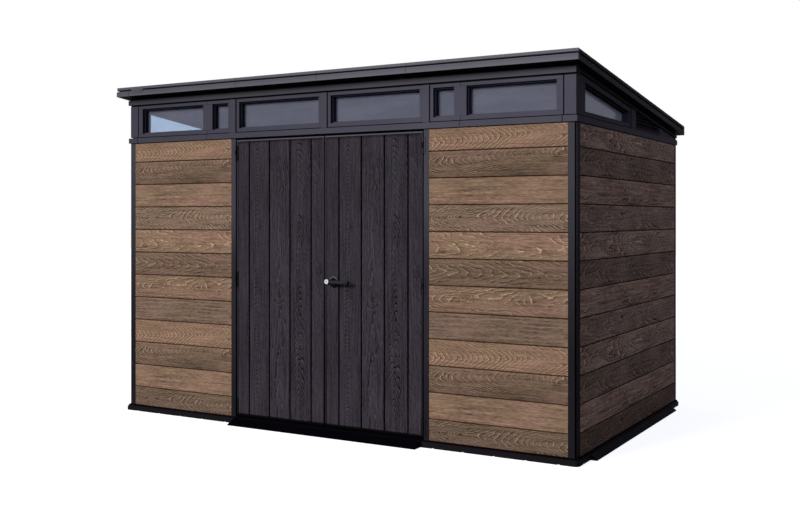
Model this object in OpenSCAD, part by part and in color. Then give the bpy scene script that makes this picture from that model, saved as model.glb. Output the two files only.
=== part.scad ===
// Garden shed with a single-slope roof: board walls in a dark frame, a band of high
// windows, two plank doors and louvred gables. Millimetres, +Z up, +X to the right and
// -Y to the front. The origin is on the ground under the middle of the walls.

/* [Plan] */
// Width over the outer faces of the side walls
plan_w = 3316; // [2800:2:4200]
// Depth over the outer faces of the front and back walls
plan_d = 2080; // [1900:2:2600]

/* [Walls] */
// Height of the wall panels
wall_h = 1842; // [1700:1:2100]
// Thickness of a wall panel
wall_t = 28; // [20:1:32]
// Width of a corner, from the wall face to the end of the panel
corner_w = 52; // [44:1:70]
// Set-back of a corner post behind the wall faces
corner_set_back = 1; // [0.5:0.5:6]
// Width of the slot down a corner post, beside its outer flange
corner_slot_w = 9; // [5:1:14]
// Depth of this slot
corner_slot_d = 16; // [8:1:20]
// Thickness of the outer flange
corner_flange_t = 3; // [2:0.5:6]
// Set-back of the outer flange behind the post's front face
corner_flange_back = 5; // [1:1:8]

/* [Base] */
// Height of the base, with its floor on top
base_h = 38; // [34:1:60]
// Reach of the base in front of the front wall
base_front = 25; // [15:1:40]
// Reach of the base past the back and side walls
base_rim = 18; // [10:1:30]
// Radius of the base's corners
base_corner_r = 30; // [15:1:50]
// Height of the base's narrower top step
base_step_h = 11; // [6:1:16]
// Inset of the base's top step
base_step_in = 6; // [3:1:10]
// Height of the notches along the base's lower edge
base_notch_h = 4; // [2:0.5:8]
// Length of a notch
base_notch_l = 14; // [8:1:30]
// Depth of a notch
base_notch_d = 12; // [6:1:18]
// Spacing of the notches
base_notch_pitch = 195; // [150:1:260]

/* [Ramps] */
// Reach of the front ramp in front of the base
front_ramp_l = 73; // [50:1:120]
// Height of the front ramp where it meets the base
front_ramp_h = 36; // [30:0.5:40]
// Reach of a side ramp past the base
side_ramp_l = 39; // [25:1:80]
// Height of a side ramp where it meets the base
side_ramp_h = 30; // [20:0.5:34]
// Distance from the front wall face to a side ramp's front end
side_ramp_start = 170; // [100:1:300]
// Distance from the back wall face to a side ramp's back end
side_ramp_end = 218; // [100:1:300]
// Thickness of a ramp's thin edge
ramp_edge = 5; // [3:0.5:8]

/* [Doors] */
// Width of a door leaf
leaf_w = 697; // [600:1:780]
// Thickness of a door leaf
leaf_t = 30; // [24:1:36]
// Gap between the two leaves
meeting_gap = 6; // [5:0.5:10]
// Gap between a leaf and its post
hinge_gap = 7; // [6:0.5:9]
// Gap over a leaf
head_gap = 12; // [8:0.5:20]
// Gap between the threshold and a leaf
foot_gap = 6; // [5:0.5:10]
// Set-back of a leaf's face behind the wall faces
leaf_set_back = 2; // [1:0.5:4]
// Width of the raised rim round a leaf
rim_w = 12; // [8:1:20]
// Height of the rim over the planks
rim_h = 3; // [1:0.5:4]
// Width of a leaf's edge planks
edge_plank_w = 102; // [80:1:140]
// Number of grooves between a leaf's planks
plank_grooves = 4; // [3:1:6]
// Width of a groove between planks
plank_groove_w = 8; // [4:1:12]
// Depth of a groove between planks
plank_groove_d = 4; // [2:0.5:6]

/* [Door frame] */
// Width of a door post
post_w = 37; // [30:1:50]
// Depth of a door post
post_d = 45; // [42:1:55]
// Height of the threshold
threshold_h = 6; // [4:0.5:12]
// Thickness of the strips that the leaves close against
stop_t = 7; // [4:0.5:8]
// Reach of these strips into the doorway
stop_w = 17; // [12:1:24]
// Depth of the head strip below the sill rail
head_stop_h = 24; // [18:1:36]

/* [Hinges] */
// Number of hinges on a leaf
hinge_n = 3; // [2:1:4]
// Height of a hinge
hinge_h = 100; // [80:1:130]
// Radius of a hinge barrel
knuckle_r = 5; // [4.5:0.1:5.4]
// Radius of a hinge pin
pin_r = 3; // [2:0.1:3.5]
// Radial clearance of a pin in the leaf's knuckle
pin_clearance = 0.06; // [0.03:0.01:0.1]
// Gap between two knuckles
knuckle_gap = 0.3; // [0.2:0.1:1]
// Height of the leaf's knuckle
leaf_knuckle_h = 36; // [30:1:50]
// Thickness of a hinge plate
plate_t = 2; // [1.5:0.1:3]
// Width of a hinge plate
plate_w = 12; // [8:1:16]
// Height of the lowest hinge over the leaf's foot
hinge_foot = 15; // [5:1:40]
// Depth of the highest hinge under the leaf's head
hinge_head = 34; // [10:1:60]

/* [Lock and handle] */
// Height of the handle over the ground
handle_z = 955; // [850:1:1100]
// Distance from the right leaf's meeting edge to the lever's pivot
lever_inset = 67; // [56:1:85]
// Radius of the rosette
rosette_r = 26; // [20:1:30]
// Thickness of the rosette
rosette_t = 10; // [6:1:14]
// Radius of the lever's shaft
shaft_r = 8; // [5:0.5:9]
// Radial clearance of the shaft in the rosette
shaft_clearance = 0.08; // [0.05:0.01:0.1]
// Radius of the lever's hub
hub_r = 11; // [10:0.5:13]
// Distance from the rosette's face to the lever's outer face
lever_reach = 46; // [40:1:60]
// Length of the lever from its pivot
lever_l = 138; // [100:1:160]
// Height of the lever
lever_h = 24; // [18:1:30]
// Thickness of the lever
lever_t = 13; // [8:1:18]
// Reach of the return at the lever's end
return_l = 14; // [0:1:20]
// Distance from the right leaf's meeting edge to the lock's centre
lock_inset = 16; // [15.5:0.5:24]
// Radius of the lock cylinder
lock_r = 15; // [10:0.5:15]
// Reach of the lock cylinder
lock_l = 10; // [6:1:16]
// Radius of the key slot's disc
key_r = 6; // [4:0.5:8]
// Depth of the key slot's disc
key_d = 1.5; // [0.5:0.5:3]

/* [Sill rail] */
// Height of the sill rail
sill_h = 36; // [28:1:50]
// Reach of the sill rail in front of the front and back walls
sill_front = 10; // [4:1:16]
// Reach of the sill rail past the side walls
sill_side = 5; // [3:1:12]
// Depth of the sill rail behind the wall faces
sill_d = 45; // [40:1:55]

/* [Window band] */
// Height of the window band over the sill rail, at the front
band_h = 223; // [190:1:300]
// Set-back of the front window frames behind the wall face
band_set_back = 1; // [0.5:0.5:6]
// Set-back of the gables behind the side walls' faces
gable_set_back = 4; // [1:1:8]
// Depth of the window frames
band_d = 45; // [36:1:50]
// Depth of a frame's outer step
face_d = 20; // [12:1:26]
// Reach of a frame's inner step into its opening
bead_w = 8; // [4:1:12]
// Height of the lower rails
lower_rail_h = 30; // [24:1:40]
// Height of the upper rails
upper_rail_h = 21; // [16:1:40]
// Height of the shadow gap under the lower rails
rail_gap_h = 5; // [3:1:8]
// Depth of the shadow gaps
rail_gap_d = 10; // [6:1:14]
// Width of the proud mullions
mullion_w = 44; // [38:1:60]
// Reach of the mullions in front of the window frames
mullion_proud = 9; // [4:1:14]
// Width of a stile beside a mullion
stile_w = 24; // [18:1:32]
// Width of the small windows' openings
small_window_w = 136; // [100:1:200]
// Width of the stile between a small and a large window
double_stile_w = 81; // [60:1:110]
// Width of the stile beside a corner cap
end_stile_w = 38; // [30:1:60]
// Width of a corner cap
cap_w = 76; // [60:1:100]
// Width of the shadow gap beside a corner cap
cap_gap_w = 6; // [3:1:10]
// Thickness of the glass
glass_t = 4; // [3:0.5:6]
// Reach of the glass behind its frame
glass_lap = 10; // [9:1:16]

/* [Gables] */
// Width of the front stile of a gable window
gable_stile_w = 101; // [60:1:140]
// Length of a gable window's opening
gable_window_l = 815; // [600:1:900]
// Width of a gable window's back stile
gable_back_stile_w = 35; // [24:1:50]
// Width of the proud mullion behind a gable window
gable_mullion_w = 90; // [60:1:120]
// Reach of this mullion past the gable window's frame
gable_mullion_proud = 6; // [4:1:10]
// Height of a gable's trim
gable_trim_h = 21; // [14:1:34]
// Height of the shadow gap under a gable's trim
gable_gap_h = 5; // [3:1:10]
// Height of the rail over a gable window
gable_rail_h = 30; // [22:1:40]
// Length of a louvre
louvre_l = 570; // [400:1:600]
// Height of a louvre's lower rail
louvre_rail_h = 22; // [16:1:30]
// Spacing of the slats
slat_pitch = 22; // [18:1:30]
// Thickness of a slat
slat_t = 5; // [3:0.5:8]
// Drop of a slat from its back to its front edge
slat_drop = 12; // [4:1:16]
// Depth of a louvre's slats
slat_d = 26; // [16:1:30]
// Thickness of the panel behind the slats
louvre_back_t = 6; // [4:1:10]

/* [Top trim] */
// Height of the shadow gap under the trim
trim_gap_h = 8; // [5:1:12]
// Height of the trim
trim_h = 34; // [24:1:44]
// Reach of the trim in front of the front wall
trim_front = 16; // [8:1:30]
// Reach of the trim past the side walls
trim_side = 2; // [1:1:10]
// Height of the dark recess between the trim and the roof
soffit_gap_h = 12; // [6:1:20]
// Height of the back rail between the sill rail and the roof
back_rail_h = 48; // [45:1:80]

/* [Roof] */
// Height of the roof, measured straight up
roof_h = 64; // [54:1:90]
// Overhang of the roof at the front
roof_front = 91; // [60:1:160]
// Overhang of the roof at the back
roof_back = 74; // [40:1:140]
// Overhang of the roof at the sides
roof_side = 40; // [30:1:100]
// Clearance over the pieces that end under a slope
slope_clearance = 0.2; // [0.1:0.1:0.5]
// Height of the upper lip
lip_h = 22; // [16:1:28]
// Height of the groove under the upper lip
lip_gap_h = 6; // [4:1:10]
// Set-back of the front lip behind the fascia
lip_set_back = 5; // [2:1:8]
// Width of the lips and fascias
edge_w = 20; // [14:1:30]
// Chamfer of the lips and fascias along the groove
edge_chamfer = 5; // [2:0.5:8]
// Spacing of the roof's panel seams
seam_pitch = 640; // [500:1:800]
// Width of a seam
seam_w = 6; // [4:1:10]
// Depth of a seam
seam_d = 3; // [2:0.5:6]
// Length of the lap tab on the roof's front edge
tab_l = 113; // [80:1:150]
// Distance from the roof's left end to the lap tab
tab_inset = 141; // [60:1:200]
// Slant of the lap tab's right end
tab_slant = 16; // [6:1:30]
// Lap of the tab over the fascia
tab_lap = 13; // [4:1:18]
// Thickness of the lap tab
tab_t = 2; // [1:0.5:4]

/* [Hidden] */
$fn = 48;

// Wall faces.
side_x = plan_w / 2;
front_y = -plan_d / 2;
back_y = plan_d / 2;

// Levels from the ground up.
sill_z = base_h + wall_h;
band_z = sill_z + sill_h;
rail_top_z = band_z + lower_rail_h;
band_top_z = band_z + band_h;
trim_z = band_top_z + trim_gap_h;
trim_top_z = trim_z + trim_h;
soffit_front_z = trim_top_z + soffit_gap_h;
soffit_back_z = band_z + back_rail_h;

// Roof slope, and the distances below the roof's top that the gables follow.
roof_fall = (soffit_front_z - soffit_back_z) / plan_d;
roof_angle = atan(roof_fall);
soffit_drop = roof_h + slope_clearance;
trim_top_drop = roof_h + soffit_gap_h;
trim_drop = trim_top_drop + gable_trim_h;
trim_foot_drop = trim_drop + gable_gap_h;
frame_drop = trim_foot_drop + slope_clearance;
opening_drop = trim_foot_drop + gable_rail_h;
stile_drop = opening_drop + slope_clearance;

// Doorway.
leaf_in_x = meeting_gap / 2;
leaf_out_x = leaf_in_x + leaf_w;
door_x = leaf_out_x + hinge_gap;
post_out_x = door_x + post_w;
leaf_z = base_h + threshold_h + foot_gap;
leaf_top_z = sill_z - head_gap;
leaf_y = front_y + leaf_set_back;
plank_y = leaf_y + rim_h;
stop_y = front_y + post_d - stop_t;

// Hinge axes, in front of the gap beside each leaf.
hinge_x = door_x - hinge_gap / 2;
hinge_y = front_y - knuckle_r;
hinge_low_z = leaf_z + hinge_foot;
hinge_high_z = leaf_top_z - hinge_head - hinge_h;
hinge_step = (hinge_high_z - hinge_low_z) / (hinge_n - 1);
knuckle_h = (hinge_h - leaf_knuckle_h) / 2 - knuckle_gap;

// Handle and lock, on the right leaf.
lever_x = leaf_in_x + lever_inset;
lock_x = leaf_in_x + lock_inset;
rosette_y = plank_y - rosette_t;
lever_y = rosette_y - lever_reach;
hub_clearance = 0.3;
shaft_end_clearance = 0.5;

// Window frames.
corner_in_x = side_x - corner_w;
frame_x = side_x - gable_set_back;
frame_y = front_y + band_set_back;
frame_in_y = frame_y + band_d;
frame_in_x = frame_x - band_d;
mullion_x = door_x + post_w / 2;
centre_out_x = mullion_x - mullion_w / 2;
small_in_x = mullion_x + mullion_w / 2;
small_window_x = small_in_x + stile_w;
double_stile_x = small_window_x + small_window_w;
large_window_x = double_stile_x + double_stile_w;
cap_x = frame_x - cap_w;
end_stile_x = cap_x - end_stile_w;
opening_top_z = band_top_z - upper_rail_h;

// Gable stations from the front to the back.
gable_y = frame_in_y;
gable_open_y = gable_y + gable_stile_w;
gable_shut_y = gable_open_y + gable_window_l;
gable_mullion_y = gable_shut_y + gable_back_stile_w;
louvre_y = gable_mullion_y + gable_mullion_w;
gable_end_y = louvre_y + louvre_l;
back_rail_y = back_y - sill_d;
frame_back_y = back_y + sill_front;

// Roof edge.
deck_x = side_x + roof_side - edge_w;
deck_front_y = front_y - roof_front + edge_w;
deck_back_y = back_y + roof_back - edge_w;
fascia_drop = lip_h + lip_gap_h;
tab_gap = 1;

// Reach of a cutting shape past the faces that it cuts.
cut = 1;

// Height of the roof's top straight above a place y.
function roof_z(y) = soffit_front_z + roof_h - (y - front_y) * roof_fall;

// Box between two opposite corners.
module block(low, high) {
    translate(low) cube(high - low);
}

// Outline of (y, z) points, carried along X.
module along_x(points, x0, x1) {
    translate([x0, 0, 0])
        rotate([90, 0, 90])
            linear_extrude(x1 - x0) polygon(points);
}

// Outline of (x, z) points, carried along Y.
module along_y(points, y0, y1) {
    translate([0, y1, 0])
        rotate([90, 0, 0])
            linear_extrude(y1 - y0) polygon(points);
}

// Bar between two distances below the roof's top, which follows the slope.
module rake(x0, x1, y0, y1, drop0, drop1) {
    along_x([
        [y0, roof_z(y0) - drop0], [y0, roof_z(y0) - drop1],
        [y1, roof_z(y1) - drop1], [y1, roof_z(y1) - drop0]
    ], x0, x1);
}

// Piece that stands on a level line and ends at a distance below the roof's top.
module under_rake(x0, x1, y0, y1, z0, drop) {
    along_x([[y0, z0], [y1, z0], [y1, roof_z(y1) - drop], [y0, roof_z(y0) - drop]], x0, x1);
}

// The children on the right, and their mirror image on the left.
module both_sides() {
    children();
    mirror([1, 0, 0]) children();
}

// Slab with round corners, inset from the base's edge.
module base_slab(inset, z0, z1) {
    x1 = side_x + base_rim - inset;
    y0 = front_y - base_front + inset;
    y1 = back_y + base_rim - inset;
    r = base_corner_r;
    block([-x1 + r, y0, z0], [x1 - r, y1, z1]);
    block([-x1, y0 + r, z0], [x1, y1 - r, z1]);
    for (x = [-x1 + r, x1 - r], y = [y0 + r, y1 - r])
        translate([x, y, z0]) cylinder(r = r, h = z1 - z0);
}

// Base with its floor, a narrower top step and small notches along the lower edge.
module floor_base() {
    x1 = side_x + base_rim;
    y0 = front_y - base_front;
    y1 = back_y + base_rim;
    run_x = x1 - base_corner_r - base_notch_l;
    run_y = (y1 - y0) / 2 - base_corner_r - base_notch_l;
    mid_y = (y0 + y1) / 2;
    nx = floor(run_x / base_notch_pitch);
    ny = floor(run_y / base_notch_pitch);
    half = base_notch_l / 2;
    reach = x1 - base_notch_d;
    color([0.13, 0.12, 0.14]) {
        difference() {
            base_slab(0, 0, base_h - base_step_h);
            for (i = [-nx : nx], y = [y0 - cut, y1 - base_notch_d])
                translate([i * base_notch_pitch, y, -cut])
                    block([-half, 0, 0], [half, base_notch_d + cut, base_notch_h + cut]);
            for (i = [-ny : ny], x = [-x1 - cut, reach])
                translate([x, mid_y + i * base_notch_pitch, -cut])
                    block([0, -half, 0], [base_notch_d + cut, half, base_notch_h + cut]);
        }
        base_slab(base_step_in, base_h - base_step_h, base_h);
    }
}

// Wedge in front of the doors.
module front_ramp() {
    back = front_y - base_front;
    color([0.06, 0.05, 0.07])
        along_x([
            [back, 0], [back - front_ramp_l, 0], [back - front_ramp_l, ramp_edge],
            [back - edge_chamfer, front_ramp_h], [back, front_ramp_h]
        ], -leaf_out_x, leaf_out_x);
}

// Wedges along the base's sides.
module side_ramps() {
    near = side_x + base_rim;
    color([0.10, 0.09, 0.11])
        both_sides()
            along_y([
                [near, 0], [near + side_ramp_l, 0], [near + side_ramp_l, ramp_edge],
                [near + edge_chamfer, side_ramp_h], [near, side_ramp_h]
            ], front_y + side_ramp_start, back_y - side_ramp_end);
}

// Strip on the floor between the door posts.
module door_threshold() {
    color([0.12, 0.11, 0.13])
        block([-door_x, front_y, base_h], [door_x, front_y + post_d, base_h + threshold_h]);
}

// Square post with a slot beside its outer flange, at the front right corner.
module corner_post() {
    x1 = side_x - corner_set_back;
    x0 = x1 - corner_flange_t - corner_slot_w;
    y0 = front_y + corner_set_back;
    difference() {
        block([corner_in_x, y0, base_h], [x1, front_y + corner_w, sill_z]);
        block([x0, y0 - cut, base_h - cut],
              [x1 - corner_flange_t, y0 + corner_slot_d, sill_z + cut]);
        block([x0, y0 - cut, base_h - cut], [x1 + cut, y0 + corner_flange_back, sill_z + cut]);
    }
}

module front_corner_posts() {
    color([0.16, 0.15, 0.18]) both_sides() corner_post();
}

module back_corner_posts() {
    color([0.16, 0.15, 0.18]) mirror([0, 1, 0]) both_sides() corner_post();
}

module door_posts() {
    color([0.20, 0.19, 0.22])
        both_sides()
            block([door_x, front_y, base_h], [post_out_x, front_y + post_d, sill_z]);
}

// Strips that the leaves close against, two upright and one under the sill rail.
module door_stops() {
    joint_gap = 0.5;
    color([0.12, 0.11, 0.13]) {
        both_sides()
            block([door_x - stop_w, stop_y, base_h + threshold_h],
                  [door_x, front_y + post_d, sill_z]);
        block([-door_x + stop_w + joint_gap, stop_y, sill_z - head_stop_h],
              [door_x - stop_w - joint_gap, front_y + post_d, sill_z]);
    }
}

// Wall panel on the right of the doors.
module front_panel() {
    block([post_out_x, front_y, base_h], [corner_in_x, front_y + wall_t, sill_z]);
}

module front_wall_left() {
    color([0.47, 0.40, 0.34]) mirror([1, 0, 0]) front_panel();
}

module front_wall_right() {
    color([0.47, 0.40, 0.34]) front_panel();
}

// Wall panel between the right corner posts.
module side_panel() {
    block([side_x - wall_t, front_y + corner_w, base_h], [side_x, back_y - corner_w, sill_z]);
}

module side_wall_left() {
    color([0.47, 0.40, 0.34]) mirror([1, 0, 0]) side_panel();
}

module side_wall_right() {
    color([0.47, 0.40, 0.34]) side_panel();
}

module back_wall() {
    color([0.47, 0.40, 0.34])
        block([-corner_in_x, back_y - wall_t, base_h], [corner_in_x, back_y, sill_z]);
}

// Rail over the front wall, round both front corners.
module front_sill() {
    color([0.30, 0.30, 0.33])
        block([-side_x - sill_side, front_y - sill_front, sill_z],
              [side_x + sill_side, front_y + sill_d, band_z]);
}

module side_sills() {
    color([0.30, 0.30, 0.33])
        both_sides()
            block([side_x - sill_d, front_y + sill_d, sill_z], [side_x + sill_side, back_rail_y, band_z]);
}

module back_sill() {
    color([0.30, 0.30, 0.33])
        block([-side_x - sill_side, back_rail_y, sill_z],
              [side_x + sill_side, back_y + sill_front, band_z]);
}

// Rail between the back sill and the roof.
module back_top_rail() {
    color([0.27, 0.27, 0.30])
        under_rake(-frame_in_x, frame_in_x, back_rail_y, frame_back_y, band_z, soffit_drop);
}

// Lower rail's outline, from a face at 0 inwards, over the sill rail.
function lower_rail_outline() = [
    [rail_gap_d, band_z], [band_d, band_z], [band_d, rail_top_z + bead_w],
    [face_d, rail_top_z + bead_w], [face_d, rail_top_z], [0, rail_top_z],
    [0, band_z + rail_gap_h], [rail_gap_d, band_z + rail_gap_h]
];

// Upper rail's outline, from a face at 0 inwards, under the trim.
function upper_rail_outline() = [
    [0, band_top_z], [0, opening_top_z], [face_d, opening_top_z],
    [face_d, opening_top_z - bead_w], [band_d, opening_top_z - bead_w], [band_d, band_top_z]
];

// Ends of the rails in each window module.
rail_runs = [[mullion_w / 2, centre_out_x], [small_in_x, cap_x]];

module front_window_rails() {
    color([0.27, 0.27, 0.30])
        both_sides()
            for (run = rail_runs, outline = [lower_rail_outline(), upper_rail_outline()])
                translate([0, frame_y, 0]) along_x(outline, run[0], run[1]);
}

// Upright from x0 to x1, with a step into the openings at its left and right.
module stile(x0, x1, left, right) {
    block([x0, frame_y, rail_top_z], [x1, frame_y + face_d, opening_top_z]);
    block([x0 - left * bead_w, frame_y + face_d, rail_top_z + bead_w],
          [x1 + right * bead_w, frame_in_y, opening_top_z - bead_w]);
}

module front_window_stiles() {
    color([0.27, 0.27, 0.30])
        both_sides() {
            stile(mullion_w / 2, mullion_w / 2 + stile_w, 0, 1);
            stile(centre_out_x - stile_w, centre_out_x, 1, 0);
            stile(small_in_x, small_window_x, 0, 1);
            stile(double_stile_x, large_window_x, 1, 1);
            stile(end_stile_x, cap_x, 1, 0);
        }
}

// Upright that stands in front of the window frames.
module mullion(x0, x1) {
    block([x0, frame_y - mullion_proud, band_z], [x1, frame_in_y, band_top_z]);
}

module front_mullions() {
    color([0.31, 0.31, 0.34]) {
        mullion(-mullion_w / 2, mullion_w / 2);
        both_sides() mullion(centre_out_x, small_in_x);
    }
}

module front_corner_caps() {
    color([0.25, 0.25, 0.28])
        both_sides() {
            block([cap_x + cap_gap_w, frame_y, band_z + rail_gap_h],
                  [frame_x, frame_y + rail_gap_d, band_top_z]);
            block([cap_x, frame_y + rail_gap_d, band_z],
                  [frame_x - rail_gap_d, frame_in_y, band_top_z]);
            block([frame_x - rail_gap_d, frame_y + rail_gap_d, band_z + rail_gap_h],
                  [frame_x, frame_in_y, band_top_z]);
        }
}

// Pane behind an opening from x0 to x1.
module pane(x0, x1) {
    lap = glass_lap;
    block([x0 - lap, frame_in_y, rail_top_z - lap],
          [x1 + lap, frame_in_y + glass_t, opening_top_z + lap]);
}

module front_glass() {
    color([0.45, 0.46, 0.50, 0.5])
        both_sides() {
            pane(mullion_w / 2 + stile_w, centre_out_x - stile_w);
            pane(small_window_x, double_stile_x);
            pane(large_window_x, end_stile_x);
        }
}

// Rails over and under a gable window, on the right side.
module gable_rails() {
    outline = [for (p = lower_rail_outline()) [frame_x - p[0], p[1]]];
    along_y(outline, gable_y, gable_mullion_y);
    rake(frame_in_x, frame_x, gable_y, gable_mullion_y, frame_drop, opening_drop);
    rake(frame_in_x, frame_x - face_d, gable_y, gable_mullion_y, opening_drop, opening_drop + bead_w);
}

module gable_window_rails() {
    color([0.22, 0.21, 0.24]) both_sides() gable_rails();
}

// Upright from y0 to y1 under the slope, with a step into the opening.
module gable_stile(y0, y1, front, back) {
    under_rake(frame_x - face_d, frame_x, y0, y1, rail_top_z, stile_drop);
    under_rake(frame_in_x, frame_x - face_d, y0 - front * bead_w, y1 + back * bead_w,
               rail_top_z + bead_w, stile_drop + bead_w);
}

module gable_window_stiles() {
    color([0.22, 0.21, 0.24])
        both_sides() {
            gable_stile(gable_y, gable_open_y, 0, 1);
            gable_stile(gable_shut_y, gable_mullion_y, 1, 0);
        }
}

module gable_glass() {
    color([0.45, 0.46, 0.50, 0.5])
        both_sides()
            under_rake(frame_in_x - glass_t, frame_in_x, gable_open_y - glass_lap,
                       gable_shut_y + glass_lap, rail_top_z - glass_lap, opening_drop - glass_lap);
}

module gable_mullions() {
    color([0.24, 0.23, 0.26])
        both_sides()
            under_rake(frame_in_x, frame_x + gable_mullion_proud, gable_mullion_y, louvre_y,
                       band_z, frame_drop);
}

// Slatted vent on the right side: a lower rail, a back panel and sloping slats.
module louvre() {
    slat_z = band_z + louvre_rail_h;
    slat_n = floor((roof_z(louvre_y) - frame_drop - slat_z) / slat_pitch);
    panel_x = frame_x - slat_d;
    block([panel_x - louvre_back_t, louvre_y, band_z], [frame_x, gable_end_y, slat_z]);
    under_rake(panel_x - louvre_back_t, panel_x, louvre_y, gable_end_y, band_z, frame_drop);
    intersection() {
        under_rake(panel_x - cut, frame_x, louvre_y, gable_end_y, band_z, frame_drop);
        for (i = [1 : slat_n]) {
            z = slat_z + i * slat_pitch;
            along_y([
                [panel_x - cut, z], [frame_x, z - slat_drop], [frame_x, z - slat_drop - slat_t],
                [panel_x - cut, z - slat_t]
            ], louvre_y, gable_end_y);
        }
    }
}

module gable_louvres() {
    color([0.14, 0.13, 0.15]) both_sides() louvre();
}

// Solid ends of the gables, cut off level with the sill rail.
module gable_ends() {
    color([0.22, 0.21, 0.24])
        both_sides()
            intersection() {
                under_rake(frame_in_x, frame_x, gable_end_y, frame_back_y, sill_z, frame_drop);
                block([frame_in_x, gable_end_y, band_z], [frame_x, frame_back_y, band_top_z]);
            }
}

// Trim over the front windows, with a shadow gap below and a dark recess above.
module front_top_trim() {
    gap_y = frame_y + rail_gap_d;
    face_y = front_y - trim_front;
    color([0.30, 0.30, 0.33])
        along_x([
            [gap_y, band_top_z], [gap_y, trim_z], [face_y, trim_z], [face_y, trim_top_z],
            [gap_y, trim_top_z], [gap_y, roof_z(gap_y) - soffit_drop],
            [frame_in_y, roof_z(frame_in_y) - soffit_drop], [frame_in_y, band_top_z]
        ], -side_x - trim_side, side_x + trim_side);
}

// Trims that follow the slope, cut off level with the sill rail.
module gable_trims() {
    y0 = frame_in_y;
    y1 = frame_back_y;
    gap_x = frame_x - rail_gap_d;
    color([0.24, 0.23, 0.26])
        both_sides()
            intersection() {
                union() {
                    rake(frame_in_x, gap_x, y0, y1, soffit_drop, trim_foot_drop);
                    rake(gap_x, side_x + trim_side, y0, y1, trim_top_drop, trim_drop);
                }
                block([frame_in_x, y0, band_z], [side_x + trim_side, y1, soffit_front_z]);
            }
}

// Sloping roof slab with seams across its top.
module roof_deck() {
    seam_n = floor((deck_x - seam_w) / seam_pitch);
    color([0.24, 0.24, 0.26])
        difference() {
            rake(-deck_x, deck_x, deck_front_y, deck_back_y, 0, roof_h);
            for (i = [-seam_n : seam_n])
                rake(i * seam_pitch - seam_w / 2, i * seam_pitch + seam_w / 2,
                     deck_front_y - cut, deck_back_y + cut, -cut, seam_d);
        }
}

// Lip over a fascia along the front edge.
module roof_edge_front() {
    y_in = deck_front_y;
    y_out = front_y - roof_front;
    lip_y = y_out + lip_set_back;
    bevel = edge_chamfer;
    color([0.36, 0.36, 0.38]) {
        along_x([
            [y_in, roof_z(y_in)], [y_in, roof_z(y_in) - lip_h],
            [lip_y + bevel, roof_z(lip_y) - lip_h], [lip_y, roof_z(lip_y) - lip_h + bevel],
            [lip_y, roof_z(lip_y)]
        ], -side_x - roof_side, side_x + roof_side);
        along_x([
            [y_in, roof_z(y_in) - fascia_drop], [y_in, roof_z(y_in) - roof_h],
            [y_out, roof_z(y_out) - roof_h], [y_out, roof_z(y_out) - fascia_drop - bevel],
            [y_out + bevel, roof_z(y_out) - fascia_drop]
        ], -side_x - roof_side, side_x + roof_side);
    }
}

module roof_edge_back() {
    y1 = back_y + roof_back;
    color([0.36, 0.36, 0.38])
        rake(-side_x - roof_side, side_x + roof_side, deck_back_y, y1, 0, roof_h);
}

// Bar with an outline of (x, distance below the roof's top), which follows the slope.
module sloping_bar(outline, y0, y1) {
    squash = cos(roof_angle);
    run = (y1 - y0) / squash;
    intersection() {
        translate([0, y0, roof_z(y0)])
            rotate([-roof_angle, 0, 0])
                translate([0, -edge_w, 0])
                    along_y([for (p = outline) [p[0], -p[1] * squash]], 0, run + 2 * edge_w);
        block([0, y0, 0], [side_x + roof_side + cut, y1, roof_z(y0) + cut]);
    }
}

// Lip over a fascia along the right edge.
module side_edge() {
    x1 = side_x + roof_side;
    bevel = edge_chamfer;
    sloping_bar([
        [deck_x, 0], [deck_x, lip_h], [x1 - bevel, lip_h], [x1, lip_h - bevel], [x1, 0]
    ], deck_front_y, deck_back_y);
    sloping_bar([
        [deck_x, fascia_drop], [deck_x, roof_h], [x1, roof_h], [x1, fascia_drop + bevel],
        [x1 - bevel, fascia_drop]
    ], deck_front_y, deck_back_y);
}

module roof_edge_left() {
    color([0.30, 0.30, 0.32]) mirror([1, 0, 0]) side_edge();
}

module roof_edge_right() {
    color([0.30, 0.30, 0.32]) side_edge();
}

// Tab that laps the front lip over the fascia near the left end.
module roof_lap_tab() {
    x0 = -side_x - roof_side + tab_inset;
    x1 = x0 + tab_l;
    face_y = front_y - roof_front;
    lip_y = face_y + lip_set_back;
    top_z = roof_z(lip_y) - lip_h + edge_chamfer;
    fascia_z = roof_z(face_y) - fascia_drop;
    low_z = fascia_z - edge_chamfer - tab_lap;
    fill_z = fascia_z + tab_gap;
    fill_x = x1 - tab_slant;
    color([0.34, 0.34, 0.36]) {
        along_y([[x0, low_z], [fill_x, low_z], [x1, top_z], [x0, top_z]], face_y - tab_t, face_y);
        block([x0, face_y - tab_t / 2, fill_z], [fill_x, lip_y, top_z]);
    }
}

// Places of the hinges up the leaf's edge.
hinge_heights = [for (i = [0 : hinge_n - 1]) hinge_low_z + i * hinge_step];

// Fixed half of the right hinges: a plate, the outer knuckles and the pin.
module frame_hinge() {
    plate_x = hinge_gap / 2;
    for (z = hinge_heights)
        translate([hinge_x, hinge_y, z]) {
            cylinder(r = pin_r, h = hinge_h);
            for (k = [0, hinge_h - knuckle_h]) {
                translate([0, 0, k]) cylinder(r = knuckle_r, h = knuckle_h);
                block([0, knuckle_r - plate_t, k], [plate_x + plate_t, knuckle_r, k + knuckle_h]);
            }
            block([knuckle_r + knuckle_gap, knuckle_r - plate_t, 0],
                  [plate_x + plate_t + plate_w, knuckle_r, hinge_h]);
        }
}

module frame_hinges() {
    color([0.08, 0.08, 0.09]) both_sides() frame_hinge();
}

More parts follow.
